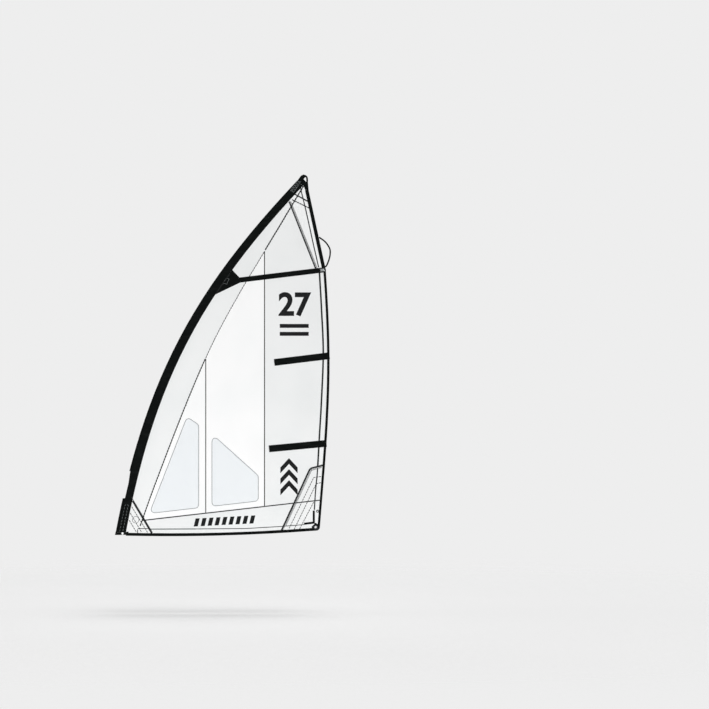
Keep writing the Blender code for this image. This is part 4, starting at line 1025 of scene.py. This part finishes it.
for side, face in sailFaces:
    seams = bmesh.new()
    luff = smoothLine("luffSeam")
    for low, high, bandWidth, stitchWidth in sewing["luffWidths"]:
        stretch = [spot for spot in luff if low <= spot[1] <= high]
        addBand(seams, stretch, side, bandWidth)
        addStitches(seams, stretch, side, width=stitchWidth, **stitches["luffSeam"])
    for key in ("headSeam", "clewEdge"):
        addStitches(seams, sewing[key], side, **stitches[key])
        addBand(seams, sewing[key], side, bands[key], aside=besideStitches)
    addBand(seams, sewing["tackTab"], side, bands["tackTab"])
    addStitches(seams, ringLine(*sewing["eyeletRing"]), side, **stitches["eyeletRing"])
    for key in ("tackEdge", "headPatchEdge", "footSeam", "frontSeam", "aftSeam"):
        addBand(seams, sewing[key], side, bands[key])
    finishPiece(f"seams{face}", seams, "dark_thread")

    rows = bmesh.new()
    for line in [*sewing["clewRows"], *sewing["tackRows"]]:
        addStitches(rows, line, side, **stitches["cornerRow"])
    addStitches(rows, sewing["headPatchRow"], side, **stitches["headPatchRow"])
    addBand(rows, smoothLine("leechHem"), side, bands["leechHem"])
    hem = smoothLine("leechHemLow")
    for low, high, width in sewing["leechHemWidths"]:
        addBand(rows, [spot for spot in hem if low <= spot[1] <= high], side, width)
    addBand(rows, sewing["footHemAft"], side, bands["footHemAft"])
    finishPiece(f"sewingRows{face}", rows, "dark_thread")

    edging = bmesh.new()
    for node in ("front_window", "aft_window"):
        addBand(edging, rimOf(node), side, bands["windowEdge"])
    addBand(edging, sewing["footHem"], side, bands["footHem"])
    finishPiece(f"windowSewing{face}", edging, "grey_thread")

    blackRows = bmesh.new()
    for aside in fineRows["sleeveAsides"]:
        addStitches(blackRows, sleeveAftRow(face.lower()), side, aside=aside, **stitches["sleeveRow"])
    for node, axis in fineRows["tapeAxes"].items():
        addStitches(blackRows, tapeRow(node, axis), side, **stitches["tapeRow"])
    for batten in ("top", "mid", "low"):
        for line in stripSides(f"batten_{batten}_pocket_back_{face.lower()}"):
            addStitches(blackRows, line, side, **stitches["pocketRow"])
    addBand(blackRows, smoothLine("patchJoin"), side, bands["patchJoin"], on=skinTree)
    finishPiece(f"blackSewing{face}", blackRows, "black_thread")

    greyRows = bmesh.new()
    addStitches(greyRows, webbingLine(f"tack_webbing_{face.lower()}"), side, **stitches["webbing"])
    addStitches(greyRows, sewing["mouthHem"], side, **stitches["mouthHem"])
    for line in (boxLine(sewing["headBox"]), zigzagLine(sewing["headBox"]), boxLine(sewing["patchMark"])):
        addStitches(greyRows, line, side, **stitches["mark"])
    finishPiece(f"tackSewing{face}", greyRows, "grey_thread")
print("seams and sewing made")

# Print on both faces: plain numbers and shapes, each readable from its own side

prints = {
    "number": {"digits": "27", "size": 0.34, "weight": 0.010, "roundness": 5, "centre": (1.890, 2.455)},
    "underlines": {"centre": (1.890, 2.215), "size": (0.31, 0.042), "gap": 0.085, "count": 2},
    "chevrons": {"centre": (1.834, 0.662), "size": (0.185, 0.10), "thick": 0.062, "gap": 0.118, "count": 3},
    "footBars": {"centre": (1.144, 0.149), "length": 0.64, "bar": (0.044, 0.085), "lean": 0.30, "count": 9,
                 "rise": math.radians(3.0)},
    "tackRing": {"centre": (0.193, 0.162), "radius": 0.037, "width": 0.0042, "steps": 48},
    "step": 0.04,
    "lift": 0.00012,
    "thick": 0.00022,
}


def flatShape(mesh, corners):
    mesh.faces.new([mesh.verts.new((x, 0, z)) for x, z in corners])


def numberShape(mesh):
    # digits drawn as text, then made a mesh standing in the sail's plane
    curve = bpy.data.curves.new("digits", "FONT")
    number = prints["number"]
    curve.body, curve.size, curve.offset = number["digits"], number["size"], number["weight"]
    curve.align_x, curve.align_y, curve.resolution_u = "CENTER", "CENTER", number["roundness"]
    writer = addObject("digits", curve)
    bpy.context.view_layer.update()
    mesh.from_mesh(writer.evaluated_get(bpy.context.evaluated_depsgraph_get()).to_mesh())
    bpy.data.objects.remove(writer)
    bmesh.ops.remove_doubles(mesh, verts=mesh.verts[:], dist=meshing["sameWithin"])
    bmesh.ops.rotate(mesh, verts=mesh.verts[:], matrix=Matrix.Rotation(math.radians(90), 3, "X"))


def underlineShape(mesh):
    lines = prints["underlines"]
    width, height = lines["size"]
    for number in range(lines["count"]):
        drop = -number * lines["gap"]
        flatShape(mesh, [(-width / 2, drop), (width / 2, drop), (width / 2, drop + height),
                         (-width / 2, drop + height)])


def chevronShape(mesh):
    marks = prints["chevrons"]
    width, height = marks["size"]
    for number in range(marks["count"]):
        low = (number - marks["count"] / 2) * marks["gap"]
        for way in (-1, 1):
            corners = [(0, low + height - marks["thick"]), (way * width / 2, low - marks["thick"]),
                       (way * width / 2, low), (0, low + height)]
            flatShape(mesh, corners)
    bmesh.ops.remove_doubles(mesh, verts=mesh.verts[:], dist=meshing["sameWithin"])


def footBarShape(mesh):
    bars = prints["footBars"]
    width, height = bars["bar"]
    for number in range(bars["count"]):
        x = (number / (bars["count"] - 1) - 0.5) * (bars["length"] - width)
        lean = bars["lean"] * height / 2
        flatShape(mesh, [(x - width / 2 - lean, -height / 2), (x + width / 2 - lean, -height / 2),
                         (x + width / 2 + lean, height / 2), (x - width / 2 + lean, height / 2)])
    bmesh.ops.rotate(mesh, verts=mesh.verts[:], matrix=Matrix.Rotation(-bars["rise"], 3, "Y"))


def tackRingShape(mesh):
    ring = prints["tackRing"]
    bmesh.ops.create_circle(mesh, segments=ring["steps"], radius=ring["radius"])
    inner = bmesh.ops.extrude_edge_only(mesh, edges=mesh.edges[:])["geom"]
    inner = [part for part in inner if isinstance(part, bmesh.types.BMVert)]
    shrink = 1 - ring["width"] / ring["radius"]
    bmesh.ops.scale(mesh, verts=inner, vec=(shrink, shrink, 1))
    bmesh.ops.rotate(mesh, verts=mesh.verts[:], matrix=Matrix.Rotation(math.radians(90), 3, "X"))


def layPrint(name, draw, centre, side, mirrored=False):
    # a flat shape, cut into a net, laid on the cloth and made as thick as the film
    mesh = bmesh.new()
    draw(mesh)
    if mirrored:
        bmesh.ops.scale(mesh, verts=mesh.verts[:], vec=(-1, 1, 1))
    bmesh.ops.translate(mesh, verts=mesh.verts[:], vec=(centre[0], 0, centre[1]))
    cutNet(mesh, prints["step"])
    for vertex in mesh.verts:
        point, _ = skin(vertex.co.x, vertex.co.z, side)
        vertex.co.y = point.y + side * prints["lift"]
    faceOut(mesh)
    turned = [face for face in mesh.faces if face.normal.y * side < 0]
    bmesh.ops.reverse_faces(mesh, faces=turned)
    bmesh.ops.solidify(mesh, geom=mesh.faces[:], thickness=-prints["thick"])
    faceOut(mesh)
    return finishPiece(name, mesh, "print")


for side, face in sailFaces:
    for name, draw in (("number", numberShape), ("underlines", underlineShape), ("chevrons", chevronShape),
                       ("footBars", footBarShape), ("tackRing", tackRingShape)):
        layPrint(f"{name}{face}", draw, prints[name]["centre"], side, mirrored=name == "number" and side > 0)
print("numbers and marks laid")
